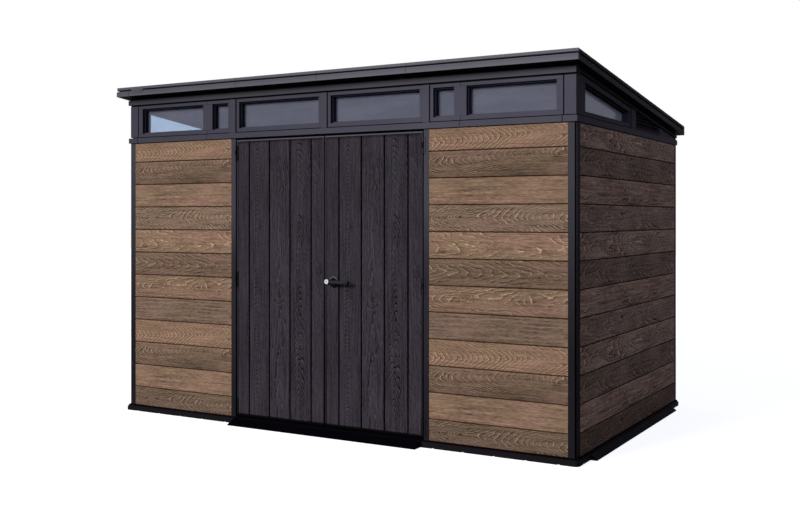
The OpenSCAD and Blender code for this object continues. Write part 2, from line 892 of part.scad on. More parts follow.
// Moving half of the right hinges: a plate and the middle knuckle.
module leaf_hinge() {
    edge = leaf_out_x - hinge_x;
    plate_y = leaf_y - hinge_y - plate_t;
    mid = (hinge_h - leaf_knuckle_h) / 2;
    for (z = hinge_heights)
        translate([hinge_x, hinge_y, z])
            difference() {
                union() {
                    translate([0, 0, mid]) cylinder(r = knuckle_r, h = leaf_knuckle_h);
                    block([edge - plate_t, plate_y - plate_t, mid],
                          [0, plate_y + plate_t, mid + leaf_knuckle_h]);
                    block([edge - plate_w, plate_y, 0], [edge - plate_t, plate_y + plate_t, hinge_h]);
                }
                translate([0, 0, -cut])
                    cylinder(r = pin_r + pin_clearance, h = hinge_h + 2 * cut);
            }
}

module leaf_hinges_left() {
    color([0.08, 0.08, 0.09]) mirror([1, 0, 0]) leaf_hinge();
}

module leaf_hinges_right() {
    color([0.08, 0.08, 0.09]) leaf_hinge();
}

// Right leaf: a slab with a raised rim round grooved planks.
module leaf() {
    plank_run = (leaf_w - 2 * edge_plank_w) / (plank_grooves - 1);
    difference() {
        block([leaf_in_x, leaf_y, leaf_z], [leaf_out_x, leaf_y + leaf_t, leaf_top_z]);
        block([leaf_in_x + rim_w, leaf_y - cut, leaf_z + rim_w],
              [leaf_out_x - rim_w, plank_y, leaf_top_z - rim_w]);
        for (i = [0 : plank_grooves - 1])
            translate([leaf_in_x + edge_plank_w + i * plank_run, 0, 0])
                block([-plank_groove_w / 2, leaf_y - cut, leaf_z + rim_w],
                      [plank_groove_w / 2, plank_y + plank_groove_d, leaf_top_z - rim_w]);
    }
}

module door_left() {
    color([0.17, 0.15, 0.18]) mirror([1, 0, 0]) leaf();
}

module door_right() {
    color([0.17, 0.15, 0.18]) leaf();
}

// Cylinder from y0 to y1 about an axis along Y.
module disc(r, y0, y1) {
    translate([0, y1, 0]) rotate([90, 0, 0]) cylinder(r = r, h = y1 - y0);
}

module handle_rosette() {
    color([0.08, 0.08, 0.09])
        translate([lever_x, 0, handle_z])
            difference() {
                disc(rosette_r, rosette_y, plank_y);
                disc(shaft_r + shaft_clearance, rosette_y - cut, plank_y + cut);
            }
}

// Lever with a round hub, a shaft in the rosette and a return at its end.
module lever_handle() {
    bar_in_y = lever_y + lever_t;
    end_r = lever_h / 2;
    color([0.10, 0.10, 0.11])
        translate([lever_x, 0, handle_z]) {
            disc(shaft_r, lever_y, plank_y - shaft_end_clearance);
            disc(hub_r, lever_y, rosette_y - hub_clearance);
            disc(end_r, lever_y, bar_in_y);
            block([0, lever_y, -end_r], [lever_l - end_r, bar_in_y, end_r]);
            translate([lever_l - end_r, 0, 0]) disc(end_r, lever_y, bar_in_y + return_l);
        }
}

// Key cylinder with a sunk disc.
module lock_cylinder() {
    color([0.75, 0.74, 0.76])
        translate([lock_x, 0, handle_z])
            difference() {
                disc(lock_r, leaf_y - lock_l, leaf_y);
                disc(key_r, leaf_y - lock_l - cut, leaf_y - lock_l + key_d);
            }
}

floor_base();
front_ramp();
side_ramps();
door_threshold();
front_corner_posts();
back_corner_posts();
door_posts();
door_stops();
front_wall_left();
front_wall_right();
side_wall_left();
side_wall_right();
back_wall();
front_sill();
side_sills();
back_sill();
back_top_rail();
front_window_rails();
front_window_stiles();
front_mullions();
front_corner_caps();
front_glass();
gable_window_rails();
gable_window_stiles();
gable_glass();
gable_mullions();
gable_louvres();
gable_ends();
front_top_trim();
gable_trims();
roof_deck();
roof_edge_front();
roof_edge_back();
roof_edge_left();
roof_edge_right();
roof_lap_tab();
frame_hinges();
door_left();
leaf_hinges_left();
door_right();
leaf_hinges_right();
handle_rosette();
lever_handle();
lock_cylinder();
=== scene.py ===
# Garden shed with a single-slope roof: the finish of every surface, the grained boards and planks,
# the glazing seals, screws and handle. Metres, +Z up, the doors face -Y.
from math import pi, radians

import bmesh
import bpy
import numpy as np
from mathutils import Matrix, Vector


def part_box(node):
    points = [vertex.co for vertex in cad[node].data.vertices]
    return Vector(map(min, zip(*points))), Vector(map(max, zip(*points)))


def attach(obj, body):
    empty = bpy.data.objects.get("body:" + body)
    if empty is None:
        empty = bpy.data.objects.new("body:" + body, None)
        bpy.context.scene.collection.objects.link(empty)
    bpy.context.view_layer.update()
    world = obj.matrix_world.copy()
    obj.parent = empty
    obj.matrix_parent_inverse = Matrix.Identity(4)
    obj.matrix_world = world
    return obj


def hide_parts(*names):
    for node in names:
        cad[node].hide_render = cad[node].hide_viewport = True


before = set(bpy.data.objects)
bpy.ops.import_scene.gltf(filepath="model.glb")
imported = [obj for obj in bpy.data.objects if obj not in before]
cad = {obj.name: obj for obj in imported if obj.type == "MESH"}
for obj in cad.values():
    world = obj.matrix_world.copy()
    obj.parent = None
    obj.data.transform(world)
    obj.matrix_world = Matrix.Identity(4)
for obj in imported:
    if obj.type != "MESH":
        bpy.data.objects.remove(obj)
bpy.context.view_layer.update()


def boxOf(node):
    low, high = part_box(node)
    return np.array(low), np.array(high)


# One output of a node. Sums and products of wires add Math nodes.
class Wire:
    def __init__(self, paint, socket):
        self.paint = paint
        self.socket = socket

    def maths(self, operation, first, second=0.0):
        return self.paint.node("Math", {0: first, 1: second}, operation=operation)

    def __add__(self, other):
        return self.maths("ADD", self, other)

    def __sub__(self, other):
        return self.maths("SUBTRACT", self, other)

    def __rsub__(self, other):
        return self.maths("SUBTRACT", other, self)

    def __mul__(self, other):
        return self.maths("MULTIPLY", self, other)

    def __truediv__(self, other):
        return self.maths("DIVIDE", self, other)

    __radd__ = __add__
    __rmul__ = __mul__

    def root(self):
        return self.maths("SQRT", self)

    def size(self):
        return self.maths("ABSOLUTE", self)

    def part(self):
        return self.maths("FRACT", self)

    # Smooth step from 0 at low to 1 at high, or falling where low is the larger.
    def step(self, low, high):
        if low > high:
            return 1 - self.step(high, low)
        return self.paint.node("MapRange", {"Value": self, "From Min": low, "From Max": high},
                               interpolation_type="SMOOTHSTEP")

    # Another output of the same node.
    def other(self, name):
        return Wire(self.paint, self.socket.node.outputs[name])


# The node tree of one material or world.
class Paint:
    def __init__(self, name, owners=bpy.data.materials):
        self.owner = owners.new(name)
        self.owner.use_nodes = True
        self.tree = self.owner.node_tree

    # Adds a node of any type with its settings and its inputs, each a number, a colour or a wire.
    # Gives back the wire of one output.
    def node(self, kind, inputs=None, output=0, **settings):
        made = self.tree.nodes.new("ShaderNode" + kind)
        for key, value in settings.items():
            setattr(made, key, value)
        for key, value in (inputs or {}).items():
            self.plug(made.inputs[key], value)
        return Wire(self, made.outputs[output])

    def plug(self, socket, value):
        if isinstance(value, Wire):
            self.tree.links.new(value.socket, socket)
        else:
            socket.default_value = value

    # Sets the shader's own sockets.
    def finish(self, values):
        for key, value in values.items():
            self.plug(self.tree.nodes["Principled BSDF"].inputs[key], value)
        return self.owner

    def show(self, shader, target):
        self.plug(self.tree.nodes[target].inputs["Surface"], shader)

    def objectPlace(self):
        return self.node("TexCoord", output="Object")

    # The way a face looks, as x, y and z.
    def objectNormal(self):
        return self.split(self.node("TexCoord", output="Normal"))

    def stored(self, name):
        return self.node("Attribute", output="Vector", attribute_name=name)

    def split(self, vector):
        x = self.node("SeparateXYZ", {0: vector})
        return x, x.other("Y"), x.other("Z")

    def joined(self, x, y, z):
        return self.node("CombineXYZ", {0: x, 1: y, 2: z})

    def stretched(self, vector, factors):
        return self.node("VectorMath", {0: vector, 1: factors}, operation="MULTIPLY")

    # Noise from -0.5 to 0.5.
    def noise(self, vector, scale, detail=2.0, rough=0.5):
        return self.node("TexNoise", {"Vector": vector, "Scale": scale, "Detail": detail,
                                      "Roughness": rough}) - 0.5

    def blend(self, factor, first, second):
        return self.node("Mix", {0: factor, 6: first, 7: second}, output=2, data_type="RGBA")

    def scaled(self, colour, factor):
        return self.node("VectorMath", {0: colour, 3: factor}, operation="SCALE")

    def bump(self, height, distance):
        return self.node("Bump", {"Height": height, "Distance": distance})


print("stage: camera, lamps and floor")
cameraSet = {
    "place": (3.5548, -6.2804, 1.3497),
    "turn": 29.862,  # degrees to the left of straight back
    "lens": 45.34,  # mm on a 36 mm sensor
    "rise": -0.0424,  # shift of the frame, in its widths
}
lampSet = {
    "keySide": 24.0,  # degrees to the left of the doors
    "keyRise": 22.0,
    "keySpread": 22.0,  # degrees across, which softens the shadows
    "keyPower": 2.85,
    "keyColour": (1.0, 0.965, 0.89),
    # Colours and powers of the sky that lights the object, shows, and shows through the windows.
    "skies": [((0.81, 0.91, 1.36, 1.0), 0.36), ((1, 1, 1, 1), 1.0),
              ((0.506, 0.727, 1.0, 1.0), 1.56)],
}
floorSet = {
    "reach": 30.0,
    "drop": 0.0005,  # below the base
    "shine": 0.86,  # the floor's white that shadows don't dim
    "pale": (0.47, 0.47, 0.47, 1.0),
    "bounce": (0.14, 0.14, 0.14, 1.0),
}


def placed(name, data):
    thing = bpy.data.objects.new(name, data)
    bpy.context.scene.collection.objects.link(thing)
    return thing


def addCamera(look):
    lens = bpy.data.cameras.new("camera")
    lens.lens = look["lens"]
    lens.shift_y = look["rise"]
    camera = placed("camera", lens)
    camera.location = look["place"]
    camera.rotation_euler = (radians(90), 0, radians(look["turn"]))
    bpy.context.scene.camera = camera


# A wide sun from the given side and height.
def addKeyLamp(look):
    light = bpy.data.lights.new("key", "SUN")
    light.energy = look["keyPower"]
    light.color = look["keyColour"]
    light.angle = radians(look["keySpread"])
    lamp = placed("key", light)
    lamp.rotation_euler = (radians(90 - look["keyRise"]), 0, -radians(look["keySide"]))


# 1 for what the camera, mirrors and glass see, and 0 for what lights the object.
def seenRays(paint):
    camera = paint.node("LightPath")
    most = camera.maths("MAXIMUM", camera, camera.other("Is Glossy Ray"))
    return most.maths("MAXIMUM", most, camera.other("Is Transmission Ray"))


# White where it is seen, blue where it is seen through a pane, and soft light on the object.
def addSky(look):
    paint = Paint("sky", bpy.data.worlds)
    bpy.context.scene.world = paint.owner
    lit, plain, blue = (paint.node("Background", {"Color": colour, "Strength": power})
                        for colour, power in look["skies"])
    panes = paint.node("LightPath", output="Transparent Depth").step(0.5, 1.0)
    seen = paint.node("MixShader", {0: panes, 1: plain, 2: blue})
    sky = paint.node("MixShader", {0: seenRays(paint), 1: lit, 2: seen})
    paint.show(sky, "World Output")


# A wide pale floor that keeps the object's shadow.
def addFloor(look):
    far = look["reach"]
    low = -look["drop"]
    mesh = bpy.data.meshes.new("floor")
    mesh.from_pydata([(-far, -far, low), (far, -far, low), (far, far, low), (-far, far, low)],
                     [], [(0, 1, 2, 3)])
    floor = placed("floor", mesh)
    paint = Paint("paleFloor")
    paper = paint.node("BsdfDiffuse", {"Color": look["pale"]})
    glow = paint.node("Emission", {"Color": (1, 1, 1, 1), "Strength": look["shine"]})
    seen = paint.node("AddShader", {0: paper, 1: glow})
    unseen = paint.node("BsdfDiffuse", {"Color": look["bounce"]})
    both = paint.node("MixShader", {0: seenRays(paint), 1: unseen, 2: seen})
    paint.show(both, "Material Output")
    mesh.materials.append(paint.owner)


addCamera(cameraSet)
addKeyLamp(lampSet)
addSky(lampSet)
addFloor(floorSet)
bpy.context.scene.view_settings.view_transform = "Standard"


print("stage: finishes")
resinSet = {
    "pebble": (520.0, 3.0, 0.6),  # moulded pebbling: a metre, detail and roughness
    "pebbleHeight": 0.00012,
    "pebbleShade": 0.22,
    "pebbleRough": 0.1,
    "cloud": 2.6,  # a metre
    "cloudDetail": 3.0,
    "cloudShade": 0.3,
    "cloudRough": 0.16,
    "gloss": 0.002,
    # Painted shade: faces that look down keep only a small share of their colour, and faces that
    # look to the side get the painted side tint.
    "under": 0.05,  # share of the colour that faces which look down keep
    "underStep": (-0.3, -0.95),  # z of a face's direction, from level to down
    "sideStep": (0.3, 0.95),  # x of a face's direction, either way
    "paintedSideShadeTint": (1.04, 0.92, 0.86, 1.0),
    # Painted light: the colour is painted lighter from left to right along x.
    "lightFalloff": (-1.7, 0.9),  # x, from where the colour is at its least
    "lightFalloffShare": 0.78,
}


# Painted shade by where a face looks: faces that look down are painted dark, and faces that look
# to the left or right get a painted shade that keeps the share side of the colour, with a tint.
def paintedFacingShade(paint, colour, shade, side=1.0):
    across, _, up = paint.objectNormal()
    shade = shade * (1 - up.step(*resinSet["underStep"]) * (1 - resinSet["under"]))
    tint = [side * part for part in resinSet["paintedSideShadeTint"][:3]] + [1.0]
    facing = paint.blend(across.size().step(*resinSet["sideStep"]), (1, 1, 1, 1), tint)
    return paint.scaled(paint.stretched(facing, colour), shade)


def pebbles(paint, place):
    return paint.noise(place, *resinSet["pebble"])


def clouds(paint, place, detail=resinSet["cloudDetail"]):
    return paint.noise(place, resinSet["cloud"], detail)


# What all resins share.
def resinFinish(paint, colour, rough, relief, gloss=resinSet["gloss"]):
    return paint.finish({
        "Base Color": colour,
        "Roughness": rough,
        "Specular IOR Level": gloss,
        "Normal": paint.bump(relief, resinSet["pebbleHeight"]),
    })


# Shade and roughness that vary slowly in clouds, and finely in pebbles.
def speckled(pebble, cloud):
    return 1 + cloud * resinSet["cloudShade"] + pebble * resinSet["pebbleShade"]


def speckledRough(rough, pebble, cloud):
    return rough + cloud * resinSet["cloudRough"] + pebble * resinSet["pebbleRough"]


# Moulded resin: the colour varies slowly and in fine pebbles, which also make the bump. Each fade
# is a painted gradient of light by height: it goes from a share of the colour at its first height
# to all of it at its second. Faces that look to the left or right keep the share side as painted
# shade, and have painted-shade fades of their own. The light falloff along x is painted too.
def resinPaint(name, colour, rough, gloss=resinSet["gloss"], paintedLightFades=(), side=1.0, paintedSideShadeFades=(),
               paintsLightFalloff=False):
    paint = Paint(name)
    place = paint.objectPlace()
    pebble, cloud = pebbles(paint, place), clouds(paint, place)
    shade = speckled(pebble, cloud)
    height = paint.split(place)[2]
    for least, most, share in paintedLightFades:
        shade = shade * (share + height.step(least, most) * (1 - share))
    sideways = paint.objectNormal()[0].size().step(*resinSet["sideStep"])
    for least, most, share in paintedSideShadeFades:
        shade = shade * (1 - sideways * (1 - height.step(least, most)) * (1 - share))
    if paintsLightFalloff:
        share = resinSet["lightFalloffShare"]
        lightFalloff = paint.split(place)[0].step(*resinSet["lightFalloff"])
        shade = shade * (share + lightFalloff * (1 - share))
    return resinFinish(paint, paintedFacingShade(paint, colour, shade, side),
                       speckledRough(rough, pebble, cloud), pebble, gloss)


floorLook = {
    "shrink": 0.034,  # from the base's edge to under the walls
    "soft": 0.002,
    "light": 4.2,  # times the base's colour
    # Painted shade: the base's top rim keeps rimShade of its colour, and the floor between the
    # raised squares keeps tileLow.
    "rimHeights": (0.036, 0.031),  # from the base's shaded rim to below it
    "rimShade": 0.25,
    "tile": 0.06,  # pitch of the raised squares
    "tileStep": (0.47, 0.40),  # from a square's edge to its top, as shares of the pitch
    "tileLow": 0.8,  # shade between the squares
    "panel": 0.57,  # pitch of the floor panels' joints
    "panelStep": (0.006, 0.003),
    "panelDark": 0.8,
    "relief": 8,  # heights, times the pebbles'
    "panelDeep": 3,
    "rough": 0.55,
}


# The base: dark outside, and on its floor lighter, with shallow squares and the panels' joints;
# painted shade between the squares and along the base's top rim.
def floorPaint(name, colour, look):
    paint = Paint(name)
    place = paint.objectPlace()
    x, y, height = paint.split(place)
    low, high = boxOf("floor_base")
    half, middle = (high - low) / 2 - look["shrink"], (high + low) / 2
    within = 1 - (x - middle[0]).size().step(half[0], half[0] + look["soft"])
    within = within * (1 - (y - middle[1]).size().step(half[1], half[1] + look["soft"]))
    pebble, cloud = pebbles(paint, place), clouds(paint, place)
    tiles = [((part / look["tile"]).part() - 0.5).size().step(*look["tileStep"]) for part in (x, y)]
    square = tiles[0] * tiles[1]
    joint = ((x / look["panel"]).part() - 0.5).size().step(*look["panelStep"])
    edge = look["rimShade"] + height.step(*look["rimHeights"]) * (1 - look["rimShade"])
    inner = (look["tileLow"] + square * (1 - look["tileLow"])) * (1 - joint * look["panelDark"])
    shade = speckled(pebble, cloud) * (edge + within * (inner * look["light"] - edge))
    relief = within * (square - joint * look["panelDeep"]) * look["relief"]
    return resinFinish(paint, paintedFacingShade(paint, colour, shade),
                       speckledRough(look["rough"], pebble, cloud), pebble + relief)


roofLook = {
    "ribPitch": 0.08,
    "ribStep": (0.30, 0.42),  # from between the ribs to a rib's top, as shares of the pitch
    "paintedRibHighlight": 0.12,
    "ribHeight": 8,  # times the pebbles'
    "pebbleShade": 0.15,
    "cloudDetail": 4.0,
    "cloudRough": 0.2,
    "rough": 0.55,
}


# Roof sheets: the same resin with shallow ribs that run down the slope, their tops lighter as a
# painted highlight.
def roofPaint(name, colour, look):
    paint = Paint(name)
    place = paint.objectPlace()
    across = paint.split(place)[0]
    rib = ((across / look["ribPitch"]).part() - 0.5).size().step(*look["ribStep"])
    pebble, cloud = pebbles(paint, place), clouds(paint, place, look["cloudDetail"])
    shade = 1 + cloud * resinSet["cloudShade"] + pebble * look["pebbleShade"]
    return resinFinish(paint, paintedFacingShade(paint, colour, shade + rib * look["paintedRibHighlight"]),
                       look["rough"] + cloud * look["cloudRough"], rib * look["ribHeight"] + pebble)


glassSet = {
    "gloss": 0.04,
    "rough": 0.06,
    "cover": 0.27,  # share that each face of the sheet hides of what is behind it
    "rightCover": 0.27,  # the same for panes in the right wall
    "rightStep": (-0.5, 0.5),  # x, from the left wall's panes to the right wall's
    # The sheet's tint with a painted sky reflection; the painted cloud reflections blend between
    # the two.
    "grey": (0.26, 0.28, 0.38, 1.0),
    "pale": (0.33, 0.34, 0.44, 1.0),
    "stretch": (2.2, 2.2, 9.0),
    "paintedCloudReflection": (1.6, 4.0, 0.55),  # scale, detail and roughness
    "paintedCloudStep": (-0.22, 0.24),
}


# Tinted sheet with a painted sky reflection: long soft painted cloud reflections, stretched along
# the pane.
def glassPaint(name, look):
    paint = Paint(name)
    place = paint.objectPlace()
    paintedCloudReflection = paint.noise(paint.stretched(place, look["stretch"]), *look["paintedCloudReflection"])
    alpha = look["cover"]
    if look["rightCover"] != alpha:
        right = paint.split(place)[0].step(*look["rightStep"])
        alpha = alpha + right * (look["rightCover"] - alpha)
    return paint.finish({
        "Base Color": paint.blend(paintedCloudReflection.step(*look["paintedCloudStep"]), look["grey"], look["pale"]),
        "Roughness": look["rough"],
        "Alpha": alpha,
        "Specular IOR Level": look["gloss"],
    })


metalSet = {
    "lines": (40.0, 3.0, 0.6),  # brushing: a metre, detail and roughness
    "lineShade": 0.35,
    "lineRough": 0.2,
    "lineHeight": 0.00004,
    "gloss": 0.05,
    "bareGloss": 0.45,  # more on bare metal
}


# Coated or bare metal: fine brushing along one axis over the given colour.
def metalPaint(name, colour, rough, metallic, brush):
    paint = Paint(name)
    line = paint.noise(paint.stretched(paint.objectPlace(), brush), *metalSet["lines"])
    return paint.finish({
        "Base Color": paint.scaled(colour, 1 + line * metalSet["lineShade"]),
        "Roughness": rough + line * metalSet["lineRough"],
        "Metallic": metallic,
        "Specular IOR Level": metalSet["gloss"] + metalSet["bareGloss"] * metallic,
        "Normal": paint.bump(line, metalSet["lineHeight"]),
    })


grainSet = {
    # Noises: scale along and across the board, a metre, then detail and roughness.
    "slow": (2.3, 10.0),
    "ripple": (9.0, 30.0, 3.0, 0.6),
    "jag": (60.0, 160.0),
    "wiggle": (24.0, 60.0, 1.0),
    "broken": (34.0, 85.0),
    "patch": (3.2, 13.0),
    "streak": (4.0, 88.0, 4.0, 0.62),
    "fleck": (34.0, 165.0, 2.0, 0.6),
    "fibre": (30.0, 640.0, 2.0),
    "mottle": (2.6, 8.0, 3.0),
    "hues": (5.0, 10.0),
    # How far noises and knots push the rings, in rings.
    "slowPush": 2.6,
    "ripplePush": 0.8,
    "wigglePush": 0.5,
    "jagPush": 0.3,
    "knotPush": 2.5,
    "eyePush": 2.2,
    "slowSway": 0.014,  # the same for the line of the tips, in metres
    "knot": (0.42, 0.046),  # its height over its length, and its radius
    "eye": (0.5, 0.030),
    "ridgeStep": (0.12, 0.01),  # parts of a ring, from its middle
    "valleyStart": (0.53, 0.64),
    "valleyEnd": (1.0, 0.7),
    "fineRings": 2.37,  # fine rings for each ring
    "fineShift": 0.3,
    "fineStep": (0.24, 0.04),
    # Shares that stay where the noise is low.
    "brokenStep": (-0.13, 0.10),
    "brokenLeast": 0.35,
    "fineBroken": 0.7,
    "fineLeast": 0.3,
    "patchStep": (-0.13, 0.13),
    "patchLeast": 0.25,
    "warmStep": (-0.45, 0.45),
    "grooveShadeTintStep": (0.45, 0.9),
    "hueStep": (-0.25, 0.25),
    "heart": (1.4, 0.95, 0.4),  # of a knot: its strength times the first, from the second on
    "knotDark": 0.35,
    "eyeDark": 0.3,
    # Heights, times the ridges'.
    "valleyDeep": 0.5,
    "fineHigh": 0.3,
    "streakHigh": 0.5,
    "fleckHigh": 0.15,
    "fibreHigh": 0.2,
    "streakRough": 0.2,
    "ridgeRough": 0.08,
}


# Moulded wood grain. A board stores, at every point: "grain", how far along and across it lies,
# and 1 in a groove, where the colour gets painted shade, or 0 on the face; "tone", its lightness,
# warmth and relief; "rings", rings a metre along and across, and their bow; "tips", the offset and
# lean of the line of the arches' tips, and the ridges' strength; "turns", a shift of the noise,
# the roundness of the tips and the sway of the rings; and two knots, each a place and a strength.
# A ridge is a line where along * ringsAlong + ringsAcross * sqrt(off^2 + round^2) + bow * off^2,
# plus slow noise and the knots, is a whole number, and off is the distance from the tip line.
def grainPaint(name, look):
    paint = Paint(name)
    along, across, sunk = paint.split(paint.stored("grain"))
    light, warm, relief = paint.split(paint.stored("tone"))
    ringsAlong, ringsAcross, bow = paint.split(paint.stored("rings"))
    tipOffset, tipLean, ridges = paint.split(paint.stored("tips"))
    shift, tipRound, sway = paint.split(paint.stored("turns"))
    place = paint.joined(along + shift, across, shift * 3.7)  # other noise on every board
    part = grainSet

    def cloud(kind):
        alongScale, acrossScale, *rest = part[kind]
        return paint.noise(paint.stretched(place, (alongScale, acrossScale, 1.0)), 1.0, *rest)

    def reach(kind):
        stretch, radius = part[kind]
        knotAlong, knotAcross, power = paint.split(paint.stored(kind))
        dAlong = (along - knotAlong) * stretch
        dAcross = across - knotAcross
        return (dAlong * dAlong + dAcross * dAcross).root().step(radius, 0.0) * power

    def heart(knot):
        times, start, wide = part["heart"]
        return (knot * times - start).step(0.0, wide)

    def least(factor, share):
        return share + factor * (1 - share)

    slow = cloud("slow")
    off = across - tipOffset - along * tipLean + slow * sway * part["slowSway"]
    square = off * off
    arch = (square + tipRound * tipRound).root() * ringsAcross + square * bow
    knot, eye = reach("knot"), reach("eye")
    ring = along * ringsAlong + arch + slow * sway * part["slowPush"]
    for kind in ("ripple", "wiggle", "jag"):
        ring = ring + cloud(kind) * part[kind + "Push"]
    phase = (ring + knot * part["knotPush"] + eye * part["eyePush"]).part()
    finePhase = (ring * part["fineRings"] + part["fineShift"]).part()
    broken = cloud("broken").step(*part["brokenStep"])
    drawn = ridges * least(cloud("patch").step(*part["patchStep"]), part["patchLeast"])
    ridge = (phase - 0.5).size().step(*part["ridgeStep"]) * drawn
    ridge = ridge * least(broken, part["brokenLeast"])
    valley = phase.step(*part["valleyStart"]) * phase.step(*part["valleyEnd"]) * drawn
    fineRidge = (finePhase - 0.5).size().step(*part["fineStep"])
    fineRidge = fineRidge * (1 - broken * part["fineBroken"]) * least(ridges, part["fineLeast"])
    streak, fleck, fibre = cloud("streak"), cloud("fleck"), cloud("fibre")
    body = paint.blend(light, look["dark"], look["light"])
    hue = paint.blend(warm.step(*part["warmStep"]), look["cool"], look["warm"])
    hue = paint.blend(ridge, hue, look["crest"])
    # The grooves' painted shade is tinted warm.
    hue = paint.blend(sunk.step(*part["grooveShadeTintStep"]), hue, look["grooveShadeTint"])
    patches = paint.blend(cloud("hues").step(*part["hueStep"]), look["mossy"], look["rosy"])
    body = paint.stretched(paint.stretched(body, hue), patches)
    # Ridges are lighter: the grain's own lines with a painted highlight on the raised ridges; the
    # valleys beside them are darker as painted shade.
    lines = ridge * look["ridgeLight"] - valley * look["valleyDark"] + fineRidge * look["fineLight"]
    fibres = streak * look["streaks"] + fleck * look["flecks"] + fibre * look["fibres"]
    shade = 1 + cloud("mottle") * look["mottling"] + (lines + fibres) * relief
    shade = shade - (heart(knot) * part["knotDark"] + heart(eye) * part["eyeDark"])
    height = ridge - valley * part["valleyDeep"] + fineRidge * part["fineHigh"]
    height = height + streak * part["streakHigh"] + fleck * part["fleckHigh"]
    height = height + fibre * part["fibreHigh"]
    # In the grooves the colour is darkened as painted shade.
    return paint.finish({
        "Base Color": paint.scaled(body, shade * (1 - sunk * look["grooveDark"])),
        "Roughness": look["rough"] + streak * part["streakRough"] - ridge * part["ridgeRough"],
        "Specular IOR Level": look["gloss"],
        "Normal": paint.bump(height * relief, look["reliefHeight"]),
    })


boardLook = {
    "dark": (0.156, 0.100, 0.067, 1.0),
    "light": (0.245, 0.157, 0.103, 1.0),
    "cool": (0.965, 1.026, 1.12, 1.0),  # tints, which multiply the colour
    "warm": (1.045, 0.966, 0.905, 1.0),
    "mossy": (0.968, 1.021, 0.955, 1.0),
    "rosy": (1.030, 0.982, 1.035, 1.0),
    "crest": (0.95, 1.03, 1.0, 1.0),  # on the ridges
    "grooveShadeTint": (1.3, 0.95, 0.75, 1.0),  # in the grooves
    "ridgeLight": 1.6,
    "valleyDark": 0.4,
    "fineLight": 0.16,
    "streaks": 1.4,
    "flecks": 0.9,
    "fibres": 0.9,
    "mottling": 0.6,
    "rough": 0.62,
    "gloss": 0.004,
    "reliefHeight": 0.0008,
    "grooveDark": 0.72,
}
doorLook = dict(
    boardLook,
    dark=(0.0275, 0.0232, 0.0295, 1.0),
    light=(0.0445, 0.0375, 0.046, 1.0),
    mossy=(0.98, 1.03, 1.0, 1.0),
    rosy=(1.04, 0.98, 1.03, 1.0),
    ridgeLight=1.1,
    valleyDark=0.5,
    fineLight=0.2,
    fibres=0.4,
    mottling=0.7,
    rough=0.55,
    grooveDark=0.93,
    **dict.fromkeys(("cool", "warm", "crest", "grooveShadeTint"), (1.0, 1.0, 1.0, 1.0)),
)
# A copy for the side and back walls, which are in shade: more painted contrast in the grain and
# darker painted shade in the grooves.
shadedSideLook = dict(boardLook, ridgeLight=1.3, valleyDark=0.35, mottling=1.5, streaks=1.5,
                grooveDark=0.96)
boardPaint = grainPaint("grainedBoard", boardLook)
shadedSidePaint = grainPaint("grainedSideBoardInShade", shadedSideLook)
doorPaint = grainPaint("charcoalPlank", doorLook)
# Door rim: a painted highlight along its top band, painted shade lower down and near black at the
# foot, and its sideways faces in painted shade.
rimPaint = resinPaint("doorRim", (0.097, 0.087, 0.105), 0.45, side=0.1,
                      paintedLightFades=[(1.858, 1.861, 0.39), (0.3, 1.3, 0.48), (0.06, 0.08, 0.15)])
# Posts: a painted gradient of light, dark near the ground and lighter towards the top as a painted
# sky reflection, with sideways faces in painted shade, on the corner posts darker still below.
postPaint = resinPaint("postResin", (0.060, 0.056, 0.068), 0.42, side=0.35,
                       paintedLightFades=[(0.45, 1.95, 0.24)], paintedSideShadeFades=[(1.05, 1.4, 0.3)])
doorPostPaint = resinPaint("doorPostResin", (0.060, 0.056, 0.068), 0.42, side=0.35,
                           paintedLightFades=[(1.0, 1.5, 0.45), (0.0, 0.9, 0.5)])
# Frame, sill and trim: sideways faces in painted shade, and a painted light falloff along x.
framePaint = resinPaint("frameResin", (0.074, 0.072, 0.095), 0.42, side=0.4, paintsLightFalloff=True)
sillPaint = resinPaint("sillResin", (0.076, 0.073, 0.092), 0.42, side=0.5, paintsLightFalloff=True)
trimPaint = resinPaint("trimResin", (0.074, 0.072, 0.084), 0.42, side=0.12, paintsLightFalloff=True)
# Louvre: painted near black for the shade in the vent between and behind its slats.
louvreShadePaint = resinPaint("louvreResinShade", (0.016, 0.013, 0.019), 0.5)
basePaint = floorPaint("baseResin", (0.0115, 0.0102, 0.0125), floorLook)
rampPaint = resinPaint("rampResin", (0.002, 0.0015, 0.003), 0.6)
sideRampPaint = resinPaint("sideRampResin", (0.013, 0.0115, 0.0135), 0.6)
# Fascia: painted shade darkening its upper part and the lip's groove, a painted highlight on the
# lip's top, and a painted light falloff along x.
fasciaPaint = resinPaint("fasciaResin", (0.145, 0.142, 0.163), 0.42, paintsLightFalloff=True,
                         paintedLightFades=[(2.240, 2.200, 0.76), (2.251, 2.243, 1.27)])
# The roof's side edges: a darker copy of the fascia resin, in painted shade.
shadedVergePaint = resinPaint("vergeResinShaded", (0.029, 0.028, 0.031), 0.45)
sheetPaint = roofPaint("roofResin", (0.060, 0.058, 0.064), roofLook)
paneGlass = glassPaint("tintedSheet", glassSet)
# Gable panes: a lighter copy whose colour is a painted reflection, laid on more thickly in the
# right wall, which is in shade.
gableSet = dict(glassSet, rightCover=0.62, grey=(0.50, 0.465, 0.48, 1.0),
                pale=(0.55, 0.51, 0.525, 1.0))
gableGlass = glassPaint("gableSheet", gableSet)
sealPaint = resinPaint("blackSeal", (0.005, 0.005, 0.006), 0.6)
# Door stops: painted near black, the shade in the gaps round the doors.
stopShadePaint = resinPaint("doorStopShadeResin", (0.003, 0.0025, 0.004), 0.6)
hingePaint = metalPaint("coatedSteel", (0.0025, 0.002, 0.003), 0.45, 0.0, (1.0, 1.0, 0.2))
